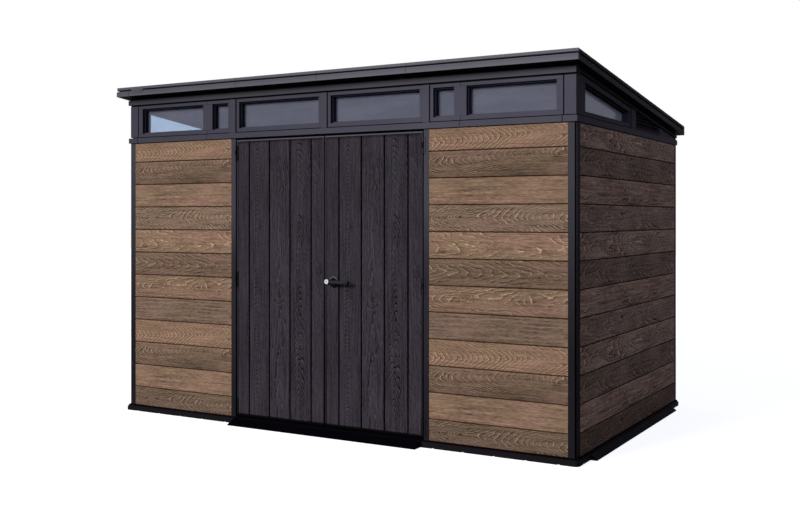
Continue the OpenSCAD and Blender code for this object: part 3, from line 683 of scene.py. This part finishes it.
# Lever: its sideways faces, such as the tip, in painted shade.
leverPaint = resinPaint("handleResin", (0.027, 0.023, 0.027), 0.4, gloss=0.02, side=0.1)
lockPaint = metalPaint("brightMetal", (0.36, 0.35, 0.37), 0.45, 1.0, (1.0, 0.2, 1.0))
# Keyway: painted dark for the shade inside the key's slot.
keywayPaint = resinPaint("keywayDark", (0.01, 0.01, 0.01), 0.5)


# Gathers grids of points into one mesh. Each row of a grid is a closed ring. The first and last
# rows are capped, or joined where the grid is looped, and notes are stored at all its points.
class Skin:
    def __init__(self):
        self.points = []
        self.faces = []
        self.notes = {}
        self.count = 0

    def addGrid(self, grid, looped=False, **notes):
        rows, columns = grid.shape[:2]
        number = np.arange(rows * columns).reshape(rows, columns) + self.count
        number = np.concatenate([number, number[:, :1]], axis=1)
        if looped:
            number = np.concatenate([number, number[:1]], axis=0)
        quads = np.stack([number[:-1, :-1], number[:-1, 1:], number[1:, 1:], number[1:, :-1]], -1)
        self.faces += quads.reshape(-1, 4).tolist()
        if not looped:
            self.faces.append(number[0, :columns].tolist())
            self.faces.append(number[-1, :columns].tolist())
        self.points.append(grid.reshape(-1, 3))
        self.count += rows * columns
        for name, value in notes.items():
            spread = np.broadcast_to(np.asarray(value, float), (rows, columns, 3))
            self.notes.setdefault(name, []).append(spread.reshape(-1, 3))

    # Makes the piece. Edges where faces turn by more than angle, in degrees, stay sharp.
    def piece(self, name, material, body, slot, *replaced, angle=35.0):
        made = bpy.data.meshes.new(name)
        made.from_pydata(np.concatenate(self.points).tolist(), [], self.faces)
        work = bmesh.new()
        work.from_mesh(made)
        bmesh.ops.recalc_face_normals(work, faces=work.faces)
        work.to_mesh(made)
        work.free()
        for label, values in self.notes.items():
            layer = made.attributes.new(label, "FLOAT_VECTOR", "POINT")
            layer.data.foreach_set("vector", np.concatenate(values).ravel())
        made.shade_smooth()
        made.set_sharp_from_angle(angle=radians(angle))
        addPiece(name, made, material, body, slot, *replaced)


def addPiece(name, mesh, material, body, slot, *replaced):
    mesh.materials.clear()
    mesh.materials.append(material)
    piece = placed(name, mesh)
    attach(piece, body)
    if replaced:
        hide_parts(*replaced)
    return piece


# A node's points, one a row.
def spotsOf(node):
    flat = np.empty(len(cad[node].data.vertices) * 3)
    cad[node].data.vertices.foreach_get("co", flat)
    return flat.reshape(-1, 3)


# Different values of one coordinate in a node, in order.
def levels(node, axis):
    return np.unique(np.round(spotsOf(node)[:, axis], 4))


print("stage: boards")
boardSet = {
    "pitch": 0.1577,
    "topGroove": 1.7459,  # height of the highest groove
    "grooveHalf": 0.003,
    "grooveDepth": 0.008,
    "edgeRound": 0.0028,
    "edgeSteps": 4,
    "strip": 0.012,  # between a rounded edge and the flat of the face
    "innerRelief": 0.45,  # share of the grain's relief on the inner face
}


# Kinds of boards, one a row: the tone, rings, tips, turns, knot and eye that grainPaint reads.
def kindsOf(*rows):
    names = ("tone", "rings", "tips", "turns", "knot", "eye")
    return [dict(zip(names, row)) for row in rows]


frontBoards = kindsOf(
    ((0.96, 0.05, 1.2), (29, 36, 160), (-0.036, 0.06, 0.95), (0, 0.006, 0.8),
     (0, 0, 0), (0.8, 0, 0.7)),
    ((0.16, -0.1, 1.3), (26, -20, -600), (0.008, 0.08, 1.6), (3.1, 0.014, 0.5),
     (0.8, 0.03, 0.95), (0.6, 0.045, 0.6)),
    ((0.76, 0, 1.4), (2, 40, 0), (-0.09, 0, 0.15), (7.4, 0.01, 1.6),
     (0, 0, 0), (0.33, -0.045, 0.9)),
    ((0.54, -0.25, 1.6), (24, -28, -310), (0, 0, 0.95), (11.9, 0.012, 2),
     (0.2, 0.008, 0.9), (0.07, 0, 0.8)),
    ((0.88, 0, 1.15), (6.5, 20, 260), (-0.008, 0, 0.95), (16.3, 0.01, 2.6),
     (0.72, -0.005, 0.22), (0.42, 0, 0.7)),
    ((0.17, -0.1, 1.3), (12, 34, 160), (0.006, -0.03, 0.7), (20.2, 0.008, 1.5),
     (0, 0, 0), (0.69, -0.016, 1)),
    ((0.7, 0, 1.35), (13, -32, -220), (0, 0, 0.8), (25.7, 0.014, 3),
     (0.66, 0.045, 0.9), (0.25, 0.02, 1)),
    ((0.38, -0.25, 1.45), (1.5, 52, 0), (0.09, 0, 0.15), (29.4, 0.01, 1.2),
     (0, 0, 0), (0, 0, 0)),
)
# Side and back walls, in shade: their high relief paints more contrast into the grain.
sideBoards = kindsOf(
    ((0.95, 0, 1.8), (9, -22, -80), (0, 0, 0.8), (41.3, 0.016, 2.6),
     (1.5, 0.012, 0.8), (1.64, 0.01, 0.8)),
    ((0, 0, 1.8), (12, -20, -90), (0.004, 0, 0.7), (45.2, 0.01, 1.4),
     (1.17, 0.02, 1), (1.27, 0.012, 0.9)),
    ((0.9, 0.1, 1.8), (3, 30, 60), (0.02, 0, 0.55), (49.8, 0.012, 3.2),
     (1.6, 0.028, 0.7), (0, 0, 0)),
    ((0.48, -0.05, 1.8), (8, -20, -80), (-0.004, 0, 0.7), (54.6, 0.012, 2.4),
     (0.28, 0.01, 0.9), (0.95, 0, 0.9)),
)


# Closed outline of (depth, height) for a board between two groove centres: quarter-round edges
# outside and inside, with a shallow half groove at each end.
def boardOutline(low, high, face, back, look):
    turn = np.linspace(0, pi / 2, look["edgeSteps"])
    soft = look["edgeRound"]
    half = look["grooveHalf"]
    rise = np.column_stack([soft - soft * np.sin(turn), half + soft - soft * np.cos(turn)])
    end = np.array([[look["grooveDepth"], 0.0], [look["grooveDepth"], half]])
    strip = [[0.0, half + soft + look["strip"]]]
    foot = np.concatenate([end, rise, strip])
    outer = np.concatenate([foot + (face, low), (foot * (1, -1) + (face, high))[::-1]])
    inner = (outer * (-1, 1) + (face + back, 0))[::-1]
    return np.concatenate([outer, inner])


# 0 on a board's faces and 1 from the foot of its rounded edges inwards.
def sunkPart(depth, thick, look):
    return np.clip(np.minimum(depth, thick - depth) / look["edgeRound"], 0, 1) ** 2


# A board's lightness, warmth and relief, with less relief inside.
def toneOf(kind, inside, look):
    relief = np.where(inside, look["innerRelief"], 1.0)[..., None]
    return np.array(kind["tone"]) * relief ** (0, 0, 1)


# A wall of boards in the place of a plain panel. outward is the side it shows its grain to, and
# kinds repeat from the top board down. lift shifts the lightness of them all as painted light,
# lighter on the left front wall than on the right, and foot darkens the lowest.
def boardWall(node, outward, kinds, paint, shift, paintedLightLift, foot, look):
    low, high = boxOf(node)
    outward = np.array(outward, float)
    along = np.cross((0, 0, 1), outward)
    corners = np.array([low, high])
    ends = np.sort(corners @ along)
    face = (corners @ outward).max()
    thick = np.ptp(corners @ outward)
    count = int((look["topGroove"] - low[2]) / look["pitch"]) + 1
    grooves = look["topGroove"] - look["pitch"] * np.arange(count)
    edges = np.concatenate([[high[2]], grooves, [low[2]]])
    skin = Skin()
    for row in range(len(edges) - 1):
        kind = kinds[row % len(kinds)]
        outline = boardOutline(edges[row + 1], edges[row], 0.0, thick, look)
        place, depth, height = np.broadcast_arrays(ends[:, None], *outline.T)
        grid = np.stack([place, face - depth, height], -1) @ np.array([along, outward, (0, 0, 1)])
        middle = look["topGroove"] + look["pitch"] * (0.5 - row)
        least = foot if row == len(edges) - 2 else 0.0
        sunk = np.maximum(sunkPart(depth, thick, look), least)
        grain = np.stack([place - ends[0] + shift, height - middle, sunk], -1)
        tone = toneOf(kind, depth > thick / 2, look) + (paintedLightLift, 0, 0)
        skin.addGrid(grid, grain=grain, **dict(kind, tone=tone))
    skin.piece(node + "_boards", paint, "root", "board_resin", node)


boardWall("front_wall_left", (0, -1, 0), frontBoards, boardPaint, 0.0, 0.06, 0.38, boardSet)
boardWall("front_wall_right", (0, -1, 0), frontBoards, boardPaint, 0.0, -0.1, 0.38, boardSet)
boardWall("side_wall_right", (1, 0, 0), sideBoards, shadedSidePaint, 0.0, 0.0, 0.55, boardSet)
boardWall("side_wall_left", (-1, 0, 0), sideBoards, shadedSidePaint, 0.35, 0.0, 0.4, boardSet)
boardWall("back_wall", (0, 1, 0), sideBoards, shadedSidePaint, 0.9, 0.0, 0.4, boardSet)


# A profile of (inset, depth) carried round a convex outline, with mitred corners. corners go
# round in order, normal points out of the face, and an inset moves towards the middle.
def mitredLoop(skin, corners, normal, profile):
    ahead = np.roll(corners, -1, axis=0) - corners
    ahead /= np.linalg.norm(ahead, axis=1)[:, None]
    inward = np.cross(normal, ahead)
    if ((corners.mean(0) - corners) * inward).sum() < 0:
        inward = -inward
    before = np.roll(inward, 1, axis=0)
    mitre = (before + inward) / (1 + (before * inward).sum(1))[:, None]
    grid = (corners[:, None] + mitre[:, None] * profile[None, :, :1]
            - np.array(normal, float) * profile[None, :, 1:])
    skin.addGrid(grid, looped=True)


# Closed profile of (inset, depth): a bar from (0, top) to (wide, foot) with its two outer edges
# rounded by quarter circles.
def barProfile(wide, top, foot, soft, steps=4):
    turn = np.linspace(0, pi / 2, steps)
    left = np.column_stack([soft - soft * np.cos(turn), top + soft - soft * np.sin(turn)])
    right = np.column_stack([wide - soft + soft * np.sin(turn), top + soft - soft * np.cos(turn)])
    return np.concatenate([[[0, foot]], left, right, [[wide, foot]]])


# Corners of an upright rectangle that faces along Y, in order.
def rectangle(x0, x1, z0, z1, y):
    return np.array([[x0, y, z0], [x1, y, z0], [x1, y, z1], [x0, y, z1]], float)


print("stage: doors")
doorSet = {
    "rim": 0.012,
    "rimHeight": 0.003,
    "rimRound": 0.0028,
    "headShadow": 0.010,  # dark strip on the planks under the rim's top
    "headShade": 0.4,  # how far it is like the bottom of a groove
    "footShadow": 0.004,
    "footShade": 0.8,
    "shadowSoft": 0.003,
    "byRim": 0.02,  # next to the rim the planks' edges are less dark
    "byRimShade": 0.4,
    "behind": 0.0004,  # from the planks' backs to the rim's
    "edgePlank": 0.102,
    "grooves": 4,
    "outline": {"grooveHalf": 0.0045, "grooveDepth": 0.0055, "edgeRound": 0.003, "edgeSteps": 4,
                "strip": 0.012},
    # Painted highlight on one side of each groove:
    "paintedStripHighlight": 0.28,  # how much lighter the strip beside each groove is, on one side
    "innerRelief": 0.5,
}
planks = kindsOf(
    ((0.45, 0, 1.1), (2, 44, 0), (0.08, 0, 0.3), (61, 0.01, 1.4),
     (0, 0, 0), (0, 0, 0)),
    ((0.55, 0.1, 1.4), (38, 30, 500), (-0.015, 0, 0.75), (66.5, 0.01, 1.4),
     (1.3, 0.01, 0.9), (0.42, -0.01, 1)),
    ((0.7, 0, 1.35), (5, 46, 200), (0, 0, 0.8), (71.2, 0.01, 2),
     (0.86, 0, 0.9), (1.28, 0, 1)),
    ((0.5, 0, 1.4), (22, 40, 300), (-0.01, 0, 1), (76.9, 0.01, 2.2),
     (1.12, 0, 0.8), (0.52, 0, 0.9)),
    ((0.6, 0, 1.2), (12, -40, 0), (0.05, 0, 0.5), (81.4, 0.01, 1.6),
     (0, 0, 0), (0, 0, 0)),
)


# A leaf: upright planks inside a raised rim.
def addLeaf(node, mirrored, look):
    low, high = boxOf(node)
    rim = look["rim"]
    thick = high[1] - low[1]
    wide = high[0] - low[0]
    step = (wide - 2 * look["edgePlank"]) / (look["grooves"] - 1)
    seams = look["edgePlank"] + step * np.arange(look["grooves"])
    tuck = look["outline"]["grooveHalf"] + look["outline"]["edgeRound"]  # under the rim
    seams = np.concatenate([[rim - tuck], seams, [wide - rim + tuck]])
    foot, head = low[2] + rim, high[2] - rim
    lit = foot + look["footShadow"], head - look["headShadow"]
    soft = look["shadowSoft"]
    ends = np.array([foot, lit[0], lit[0] + soft, lit[1] - soft, lit[1], head])[:, None]
    endShade = np.repeat([look["footShade"], 0, look["headShade"]], 2)[:, None]
    skin = Skin()
    for number in range(len(seams) - 1):
        kind = planks[len(planks) - 1 - number if mirrored else number]
        outline = boardOutline(seams[number], seams[number + 1], look["rimHeight"],
                               thick - look["behind"], look["outline"])
        height, depth, across = np.broadcast_arrays(ends, *outline.T)
        x = high[0] - across if mirrored else low[0] + across
        grid = np.stack([x, low[1] + depth, height], -1)
        middle = (seams[number] + seams[number + 1]) / 2
        inside = depth > thick / 2
        swing = middle - across if mirrored else across - middle
        proud = look["rimHeight"]
        sunk = sunkPart(depth - proud, thick - proud, look["outline"])
        # On one side of each groove the strip gets a painted highlight.
        near = (across > seams[number + 1] - look["outline"]["strip"]) & ~inside
        fromRim = np.minimum(across - seams[0], seams[-1] - across)
        sunk = np.where(fromRim < look["byRim"], sunk * look["byRimShade"], sunk)
        sunk = np.maximum(np.where(near & (sunk < 0.1), -look["paintedStripHighlight"], sunk), endShade)
        grain = np.stack([height, swing, sunk], -1)
        skin.addGrid(grid, grain=grain, **dict(kind, tone=toneOf(kind, inside, look)))
    skin.piece(node + "_planks", doorPaint, node, "door_resin", node)
    edge = Skin()
    mitredLoop(edge, rectangle(low[0], high[0], low[2], high[2], low[1]), (0, -1, 0),
               barProfile(rim, 0.0, thick, look["rimRound"]))
    edge.piece(node + "_rim", rimPaint, node, "door_resin")


addLeaf("door_left", True, doorSet)
addLeaf("door_right", False, doorSet)


print("stage: frame, roof and base")
softSet = {
    "merge": 1e-5,
    "flat": 0.5,  # degrees, edges flatter than this go
    "bevelFrom": 30.0,  # degrees
    "segments": 2,
    "fineGap": 0.0012,
    "wideGap": 0.0032,
}


# Cuts a closed shell through at two planes a small gap apart in x, and closes both cuts.
def cutJoint(work, place, gap):
    for side in (-0.5, 0.5):
        whole = work.verts[:] + work.edges[:] + work.faces[:]
        bmesh.ops.bisect_plane(work, geom=whole, dist=1e-6, plane_co=(place + side * gap, 0, 0),
                               plane_no=(1, 0, 0))
    between = [f for f in work.faces if abs(f.calc_center_median()[0] - place) < gap / 2.5]
    bmesh.ops.delete(work, geom=between, context="FACES")
    rims = [e for e in work.edges if e.is_boundary]
    bmesh.ops.holes_fill(work, edges=rims, sides=0)


# A frame part with rounded edges of the given width, cut through by its joints.
def soften(node, material, slot, wide):
    faces = [tuple(face.vertices) for face in cad[node].data.polygons]
    mesh = bpy.data.meshes.new(node + "_finished")
    mesh.from_pydata(spotsOf(node).tolist(), [], faces)
    work = bmesh.new()
    work.from_mesh(mesh)
    bmesh.ops.remove_doubles(work, verts=work.verts, dist=softSet["merge"])
    bmesh.ops.dissolve_limit(work, angle_limit=radians(softSet["flat"]), verts=work.verts,
                             edges=work.edges)
    for place, gap in joints.get(node, ()):
        cutJoint(work, place, softSet[gap])
    bmesh.ops.recalc_face_normals(work, faces=work.faces)
    work.to_mesh(mesh)
    work.free()
    mesh.shade_smooth()
    piece = addPiece(node + "_finished", mesh, material, bodies.get(node, "root"), slot, node)
    edge = piece.modifiers.new("edge", "BEVEL")
    edge.width = wide
    edge.segments = softSet["segments"]
    edge.limit_method = "ANGLE"
    edge.angle_limit = radians(softSet["bevelFrom"])
    edge.harden_normals = True
    edge.miter_outer = "MITER_ARC"


bandJoints = [(x, "fineGap") for x in (-0.95, 0.95)]
sillJoints = bandJoints + [(x, "wideGap") for x in (-1.5785, 1.5765)]
roofJoints = [(x, "fineGap") for x in (-1.584, -0.636, 0.0, 0.636)]
joints = {"front_window_rails": bandJoints, "front_sill": sillJoints, "back_sill": sillJoints,
          "roof_edge_front": roofJoints, "roof_edge_back": roofJoints}
bodies = {"leaf_hinges_left": "door_left", "leaf_hinges_right": "door_right",
          "lock_cylinder": "door_right"}
# A paint, a slot, a width of rounded edges, and the nodes that have them.
frameParts = [
    (basePaint, "base_resin", 0.0015, "floor_base"),
    (rampPaint, "ramp_resin", 0.0012, "front_ramp"),
    (sideRampPaint, "ramp_resin", 0.0012, "side_ramps"),
    (rampPaint, "base_resin", 0.0012, "door_threshold"),
    (postPaint, "frame_resin", 0.0018, "front_corner_posts", "back_corner_posts"),
    (doorPostPaint, "frame_resin", 0.0018, "door_posts"),
    (stopShadePaint, "frame_resin", 0.0012, "door_stops"),
    (sillPaint, "frame_resin", 0.0022, "front_sill", "side_sills", "back_sill"),
    (framePaint, "frame_resin", 0.0015, "back_top_rail", "front_window_rails",
     "front_window_stiles"),
    (sillPaint, "frame_resin", 0.0022, "front_mullions"),
    (framePaint, "frame_resin", 0.0022, "front_corner_caps"),
    (framePaint, "frame_resin", 0.0015, "gable_window_rails", "gable_window_stiles"),
    (framePaint, "frame_resin", 0.0022, "gable_mullions"),
    (louvreShadePaint, "louvre_resin", 0.0010, "gable_louvres"),
    (framePaint, "frame_resin", 0.0015, "gable_ends"),
    (trimPaint, "frame_resin", 0.0018, "front_top_trim", "gable_trims"),
    (sheetPaint, "roof_resin", 0.0012, "roof_deck"),
    (fasciaPaint, "roof_resin", 0.0014, "roof_edge_front", "roof_edge_back"),
    (shadedVergePaint, "roof_resin", 0.0014, "roof_edge_left", "roof_edge_right"),
    (fasciaPaint, "roof_resin", 0.0006, "roof_lap_tab"),
    (doorPostPaint, "hinge_metal", 0.0004, "frame_hinges"),
    (hingePaint, "hinge_metal", 0.0004, "leaf_hinges_left", "leaf_hinges_right"),
    (lockPaint, "lock_metal", 0.0010, "lock_cylinder"),
]
for paint, slot, wide, *nodes in frameParts:
    for node in nodes:
        soften(node, paint, slot, wide)

for pane, glass in (("front_glass", paneGlass), ("gable_glass", gableGlass)):
    for slot in cad[pane].material_slots:
        slot.material = glass


print("stage: seals")
sealSet = {
    "inset": 0.0160,  # from the pane's edge, just under the frame's bead
    "wide": 0.0024,
    "proud": 0.0016,
    "soft": 0.0006,
    "near": 1e-4,  # points closer than this are on one edge
}


# Black seals round the panes, on their outer faces.
def addSeals(look):
    profile = barProfile(look["wide"], -look["proud"], 0.0, look["soft"])
    profile[:, 0] += look["inset"]
    skin = Skin()
    low, high = boxOf("front_glass")
    sides = levels("front_glass", 0).reshape(-1, 2)
    for x0, x1 in sides:
        mitredLoop(skin, rectangle(x0, x1, low[2], high[2], low[1]), (0, -1, 0), profile)
    spots = spotsOf("gable_glass")
    for side in (-1, 1):
        x = (spots[:, 0] * side).max()
        shell = spots[np.abs(spots[:, 0] * side - x) < look["near"]]
        foot = shell[:, 2].min()
        front, back = shell[:, 1].min(), shell[:, 1].max()
        frontTop, backTop = (shell[np.abs(shell[:, 1] - y) < look["near"], 2].max()
                             for y in (front, back))
        corners = [(front, foot), (back, foot), (back, backTop), (front, frontTop)]
        mitredLoop(skin, np.array([(x * side, *corner) for corner in corners]), (side, 0, 0),
                   profile)
    skin.piece("window_seals", sealPaint, "root", "frame_resin")


addSeals(sealSet)


print("stage: handle and screws")
leverSet = {
    "neck": 0.0105,  # radius at the rosette
    "tall": 0.0115,  # half height of the grip
    "thick": 0.0062,  # half thickness of the grip
    "bend": 0.016,
    "gap": 0.0004,
    "endBend": 0.011,
    "tip": 0.006,  # straight after the last bend
    "flatten": (0.10, 0.32),  # shares of its length between which it flattens
    "narrow": (0.3, 0.9),
    "narrowBy": 0.14,
    "close": (0.965, 1.0),
    "closeLeast": 0.05,
    "steps": (5, 9, 12),  # points along the neck, a turn and the grip
    "spokes": 32,
}


# Even angles round a full turn.
def fullTurn(look):
    return np.linspace(0, 2 * pi, look["spokes"], endpoint=False)


# Rings round a line along Y, at the places y on it: from the middle, x goes by wide * cosine
# and z by tall * sine.
def ringGrid(middle, wide, tall, y, turn):
    x, z = middle[0] + wide * np.cos(turn), middle[2] + tall * np.sin(turn)
    return np.stack(np.broadcast_arrays(x, y, z), -1)


# Points (x, y) of the lever's path: straight runs joined by quarter turns.
def leverPath(look, low, high, pivotX, rosetteY):
    bend, endBend = look["bend"], look["endBend"]
    outer, farX = low[1] + look["thick"], high[0] - look["thick"]
    neckSteps, turnSteps, gripSteps = look["steps"]
    turn = np.linspace(0, pi / 2, turnSteps)
    across, ahead = np.cos(turn), np.sin(turn)
    first = np.linspace((pivotX, rosetteY - look["gap"]), (pivotX, outer + bend), neckSteps)
    corner = (pivotX + bend, outer + bend) - bend * np.column_stack([across, ahead])
    run = np.linspace((pivotX + bend, outer), (farX - endBend, outer), gripSteps)
    last = (farX - endBend, outer + endBend) + endBend * np.column_stack([ahead, -across])
    tip = [(farX, outer + endBend + look["tip"])]
    return np.concatenate([first, corner[1:], run[1:], last[1:], tip])


# The lever: an ellipse carried along its path. It's round at the rosette, tall and flat along
# the grip, and closes in a rounded tip.
def addLever(look):
    low, high = boxOf("lever_handle")
    rosetteLow, rosetteHigh = boxOf("handle_rosette")
    pivot = (rosetteLow + rosetteHigh) / 2
    path = leverPath(look, low, high, pivot[0], rosetteLow[1])
    reach = np.concatenate([[0], np.cumsum(np.linalg.norm(np.diff(path, axis=0), axis=1))])
    reach /= reach[-1]
    ahead = np.gradient(path, axis=0)
    ahead /= np.linalg.norm(ahead, axis=1)[:, None]
    side = np.column_stack([ahead[:, 1], -ahead[:, 0]])
    flatten, narrow, close = (np.interp(reach, look[kind], (0, 1))
                              for kind in ("flatten", "narrow", "close"))
    flatten = flatten * flatten * (3 - 2 * flatten)
    close = np.sqrt(np.clip(1 - close ** 2, look["closeLeast"], 1))
    neck = look["neck"]
    tall = (neck + (look["tall"] - neck) * flatten) * (1 - look["narrowBy"] * narrow) * close
    thick = (neck + (look["thick"] - neck) * flatten) * close
    turn = fullTurn(look)
    grid = np.empty((len(path), len(turn), 3))
    grid[..., :2] = path[:, None] + side[:, None] * (thick[:, None] * np.cos(turn))[..., None]
    grid[..., 2] = pivot[2] + tall[:, None] * np.sin(turn)
    skin = Skin()
    skin.addGrid(grid)
    skin.piece("lever_grip", leverPaint, "lever", "handle_plastic", "lever_handle", angle=50.0)


rosetteSet = {
    "radius": 0.035,
    "soft": 0.004,
    "dish": 0.003,  # sunk inside its raised ring
    "ring": 0.0095,
    "ringEdges": (0.0008, 0.003),
    "middle": 0.0005,  # radius of the innermost circle of points
    # Painted highlight on the ring's upper part, and painted shade elsewhere:
    "lit": (0.2, 0.7),  # heights between which the ring gets lighter, in radii
    "colour": (0.085, 0.078, 0.088),
    "inside": 0.04,  # share of the colour inside the ring
    "rough": 0.4,
    "gloss": 0.02,
    "spokes": 48,
}


# Handle resin with painted light: dark where the stored shade is low.
def shadedPaint(name, look):
    paint = Paint(name)
    pebble = pebbles(paint, paint.objectPlace())
    shade = paint.split(paint.stored("shade"))[0] * (1 + pebble * resinSet["pebbleShade"])
    return resinFinish(paint, paintedFacingShade(paint, look["colour"], shade),
                       look["rough"] + pebble * resinSet["pebbleRough"], pebble, look["gloss"])


# The round plate behind the lever: a disc whose outer edge is rounded by a quarter circle, and
# sunk inside a ring. The ring's upper part gets a painted highlight, and the rest painted shade.
def addRosette(look):
    low, high = boxOf("handle_rosette")
    middle = (low + high) / 2
    thick = high[1] - low[1]
    soft = look["soft"]
    rise = np.linspace(0, pi / 2, 6)
    turn = fullTurn(look)
    inner = look["radius"] - look["ring"]
    edges = inner - np.array(look["ringEdges"])
    radius = np.concatenate([[look["radius"]], look["radius"] - soft + soft * np.cos(rise),
                             [inner, *edges, inner / 2, look["middle"]]])
    depth = np.concatenate([[0.0], thick - soft + soft * np.sin(rise),
                            [thick], np.full(4, thick - look["dish"])])
    radius, y = radius[:, None], high[1] - depth[:, None]
    lit = (radius > edges[0] + 1e-6) * np.interp(np.sin(turn), look["lit"], (0, 1))
    skin = Skin()
    skin.addGrid(ringGrid(middle, radius, radius, y, turn),
                 shade=(look["inside"] + lit * (1 - look["inside"]))[..., None])
    skin.piece("lever_rosette", shadedPaint("rosetteResin", look), "door_right",
               "handle_plastic", "handle_rosette", angle=50.0)


keywaySet = {
    "wide": 0.0021,  # half of each
    "tall": 0.0052,
    "depths": (0.0012, 0.0016),  # from the front of the lock
    "spokes": 20,
}


# The slot for the key: an upright ellipse in the lock's disc, painted dark as the shade inside it.
def addKeyway(look):
    low, high = boxOf("lock_cylinder")
    y = low[1] + np.array(look["depths"])[:, None]
    skin = Skin()
    skin.addGrid(ringGrid((low + high) / 2, look["wide"], look["tall"], y, fullTurn(look)))
    skin.piece("lock_keyway", keywayPaint, "door_right", "lock_metal")


screwSet = {
    "radius": 0.0026,
    "dome": 0.0007,
    "rings": 5,
    "middle": 0.02,  # share of the radius
    "spokes": 16,
    "slot": (0.8, 0.6),  # across its direction
    "slotWide": 0.22,  # share of the radius
    "slotDeep": 0.8,  # share of the dome
    "root": 0.0004,  # sunk into the plate
    "inset": 0.013,  # from each end of the hinge plate
    "plate": 0.1,  # height of a hinge plate
    "plateMatch": 2e-3,
    "edge": 0.005,  # from the plate's side edge
    "proud": 0.002,  # thickness of the plate
}


# Domed screw heads: radius r from the middle lies dome * (1 - (r / radius)^2) proud, less a
# slot along one diameter.
def addScrews(name, centres, body, look):
    skin = Skin()
    share = np.linspace(1, look["middle"], look["rings"])[:, None]
    turn = fullTurn(look)
    across = share * (look["slot"][0] * np.cos(turn) + look["slot"][1] * np.sin(turn))
    slot = np.clip(1 - np.abs(across) / look["slotWide"], 0, 1)
    rise = look["dome"] * (1 - share ** 2) * (1 - look["slotDeep"] * slot)
    radius = share * look["radius"]
    for centre in centres:
        grid = ringGrid(centre, radius, radius, centre[1] - rise, turn)
        root = grid[:1] + (0, look["root"], 0)
        skin.addGrid(np.concatenate([root, grid]))
    skin.piece(name, hingePaint, body, "hinge_metal", angle=60.0)


# Two screws near the ends of every hinge plate, on the leaf and on the post beside it.
def hingeScrews(look):
    plates = levels("leaf_hinges_right", 2)
    tall = look["plate"]
    starts = [z for z in plates if np.any(np.abs(plates - z - tall) < look["plateMatch"])]
    heights = [z for start in starts
               for z in (start + look["inset"], start + tall - look["inset"])]
    leafX = boxOf("leaf_hinges_right")[0][0] + look["edge"]
    postX = boxOf("frame_hinges")[1][0] - look["edge"]
    for side, name in ((-1, "left"), (1, "right")):
        for part, x, face, body in (("leaf", leafX, "door_right", "door_" + name),
                                    ("post", postX, "door_posts", "root")):
            y = boxOf(face)[0][1] - look["proud"]
            addScrews(part + "_screws_" + name, [(side * x, y, z) for z in heights], body, look)


addLever(leverSet)
addRosette(rosetteSet)
addKeyway(keywaySet)
hingeScrews(screwSet)
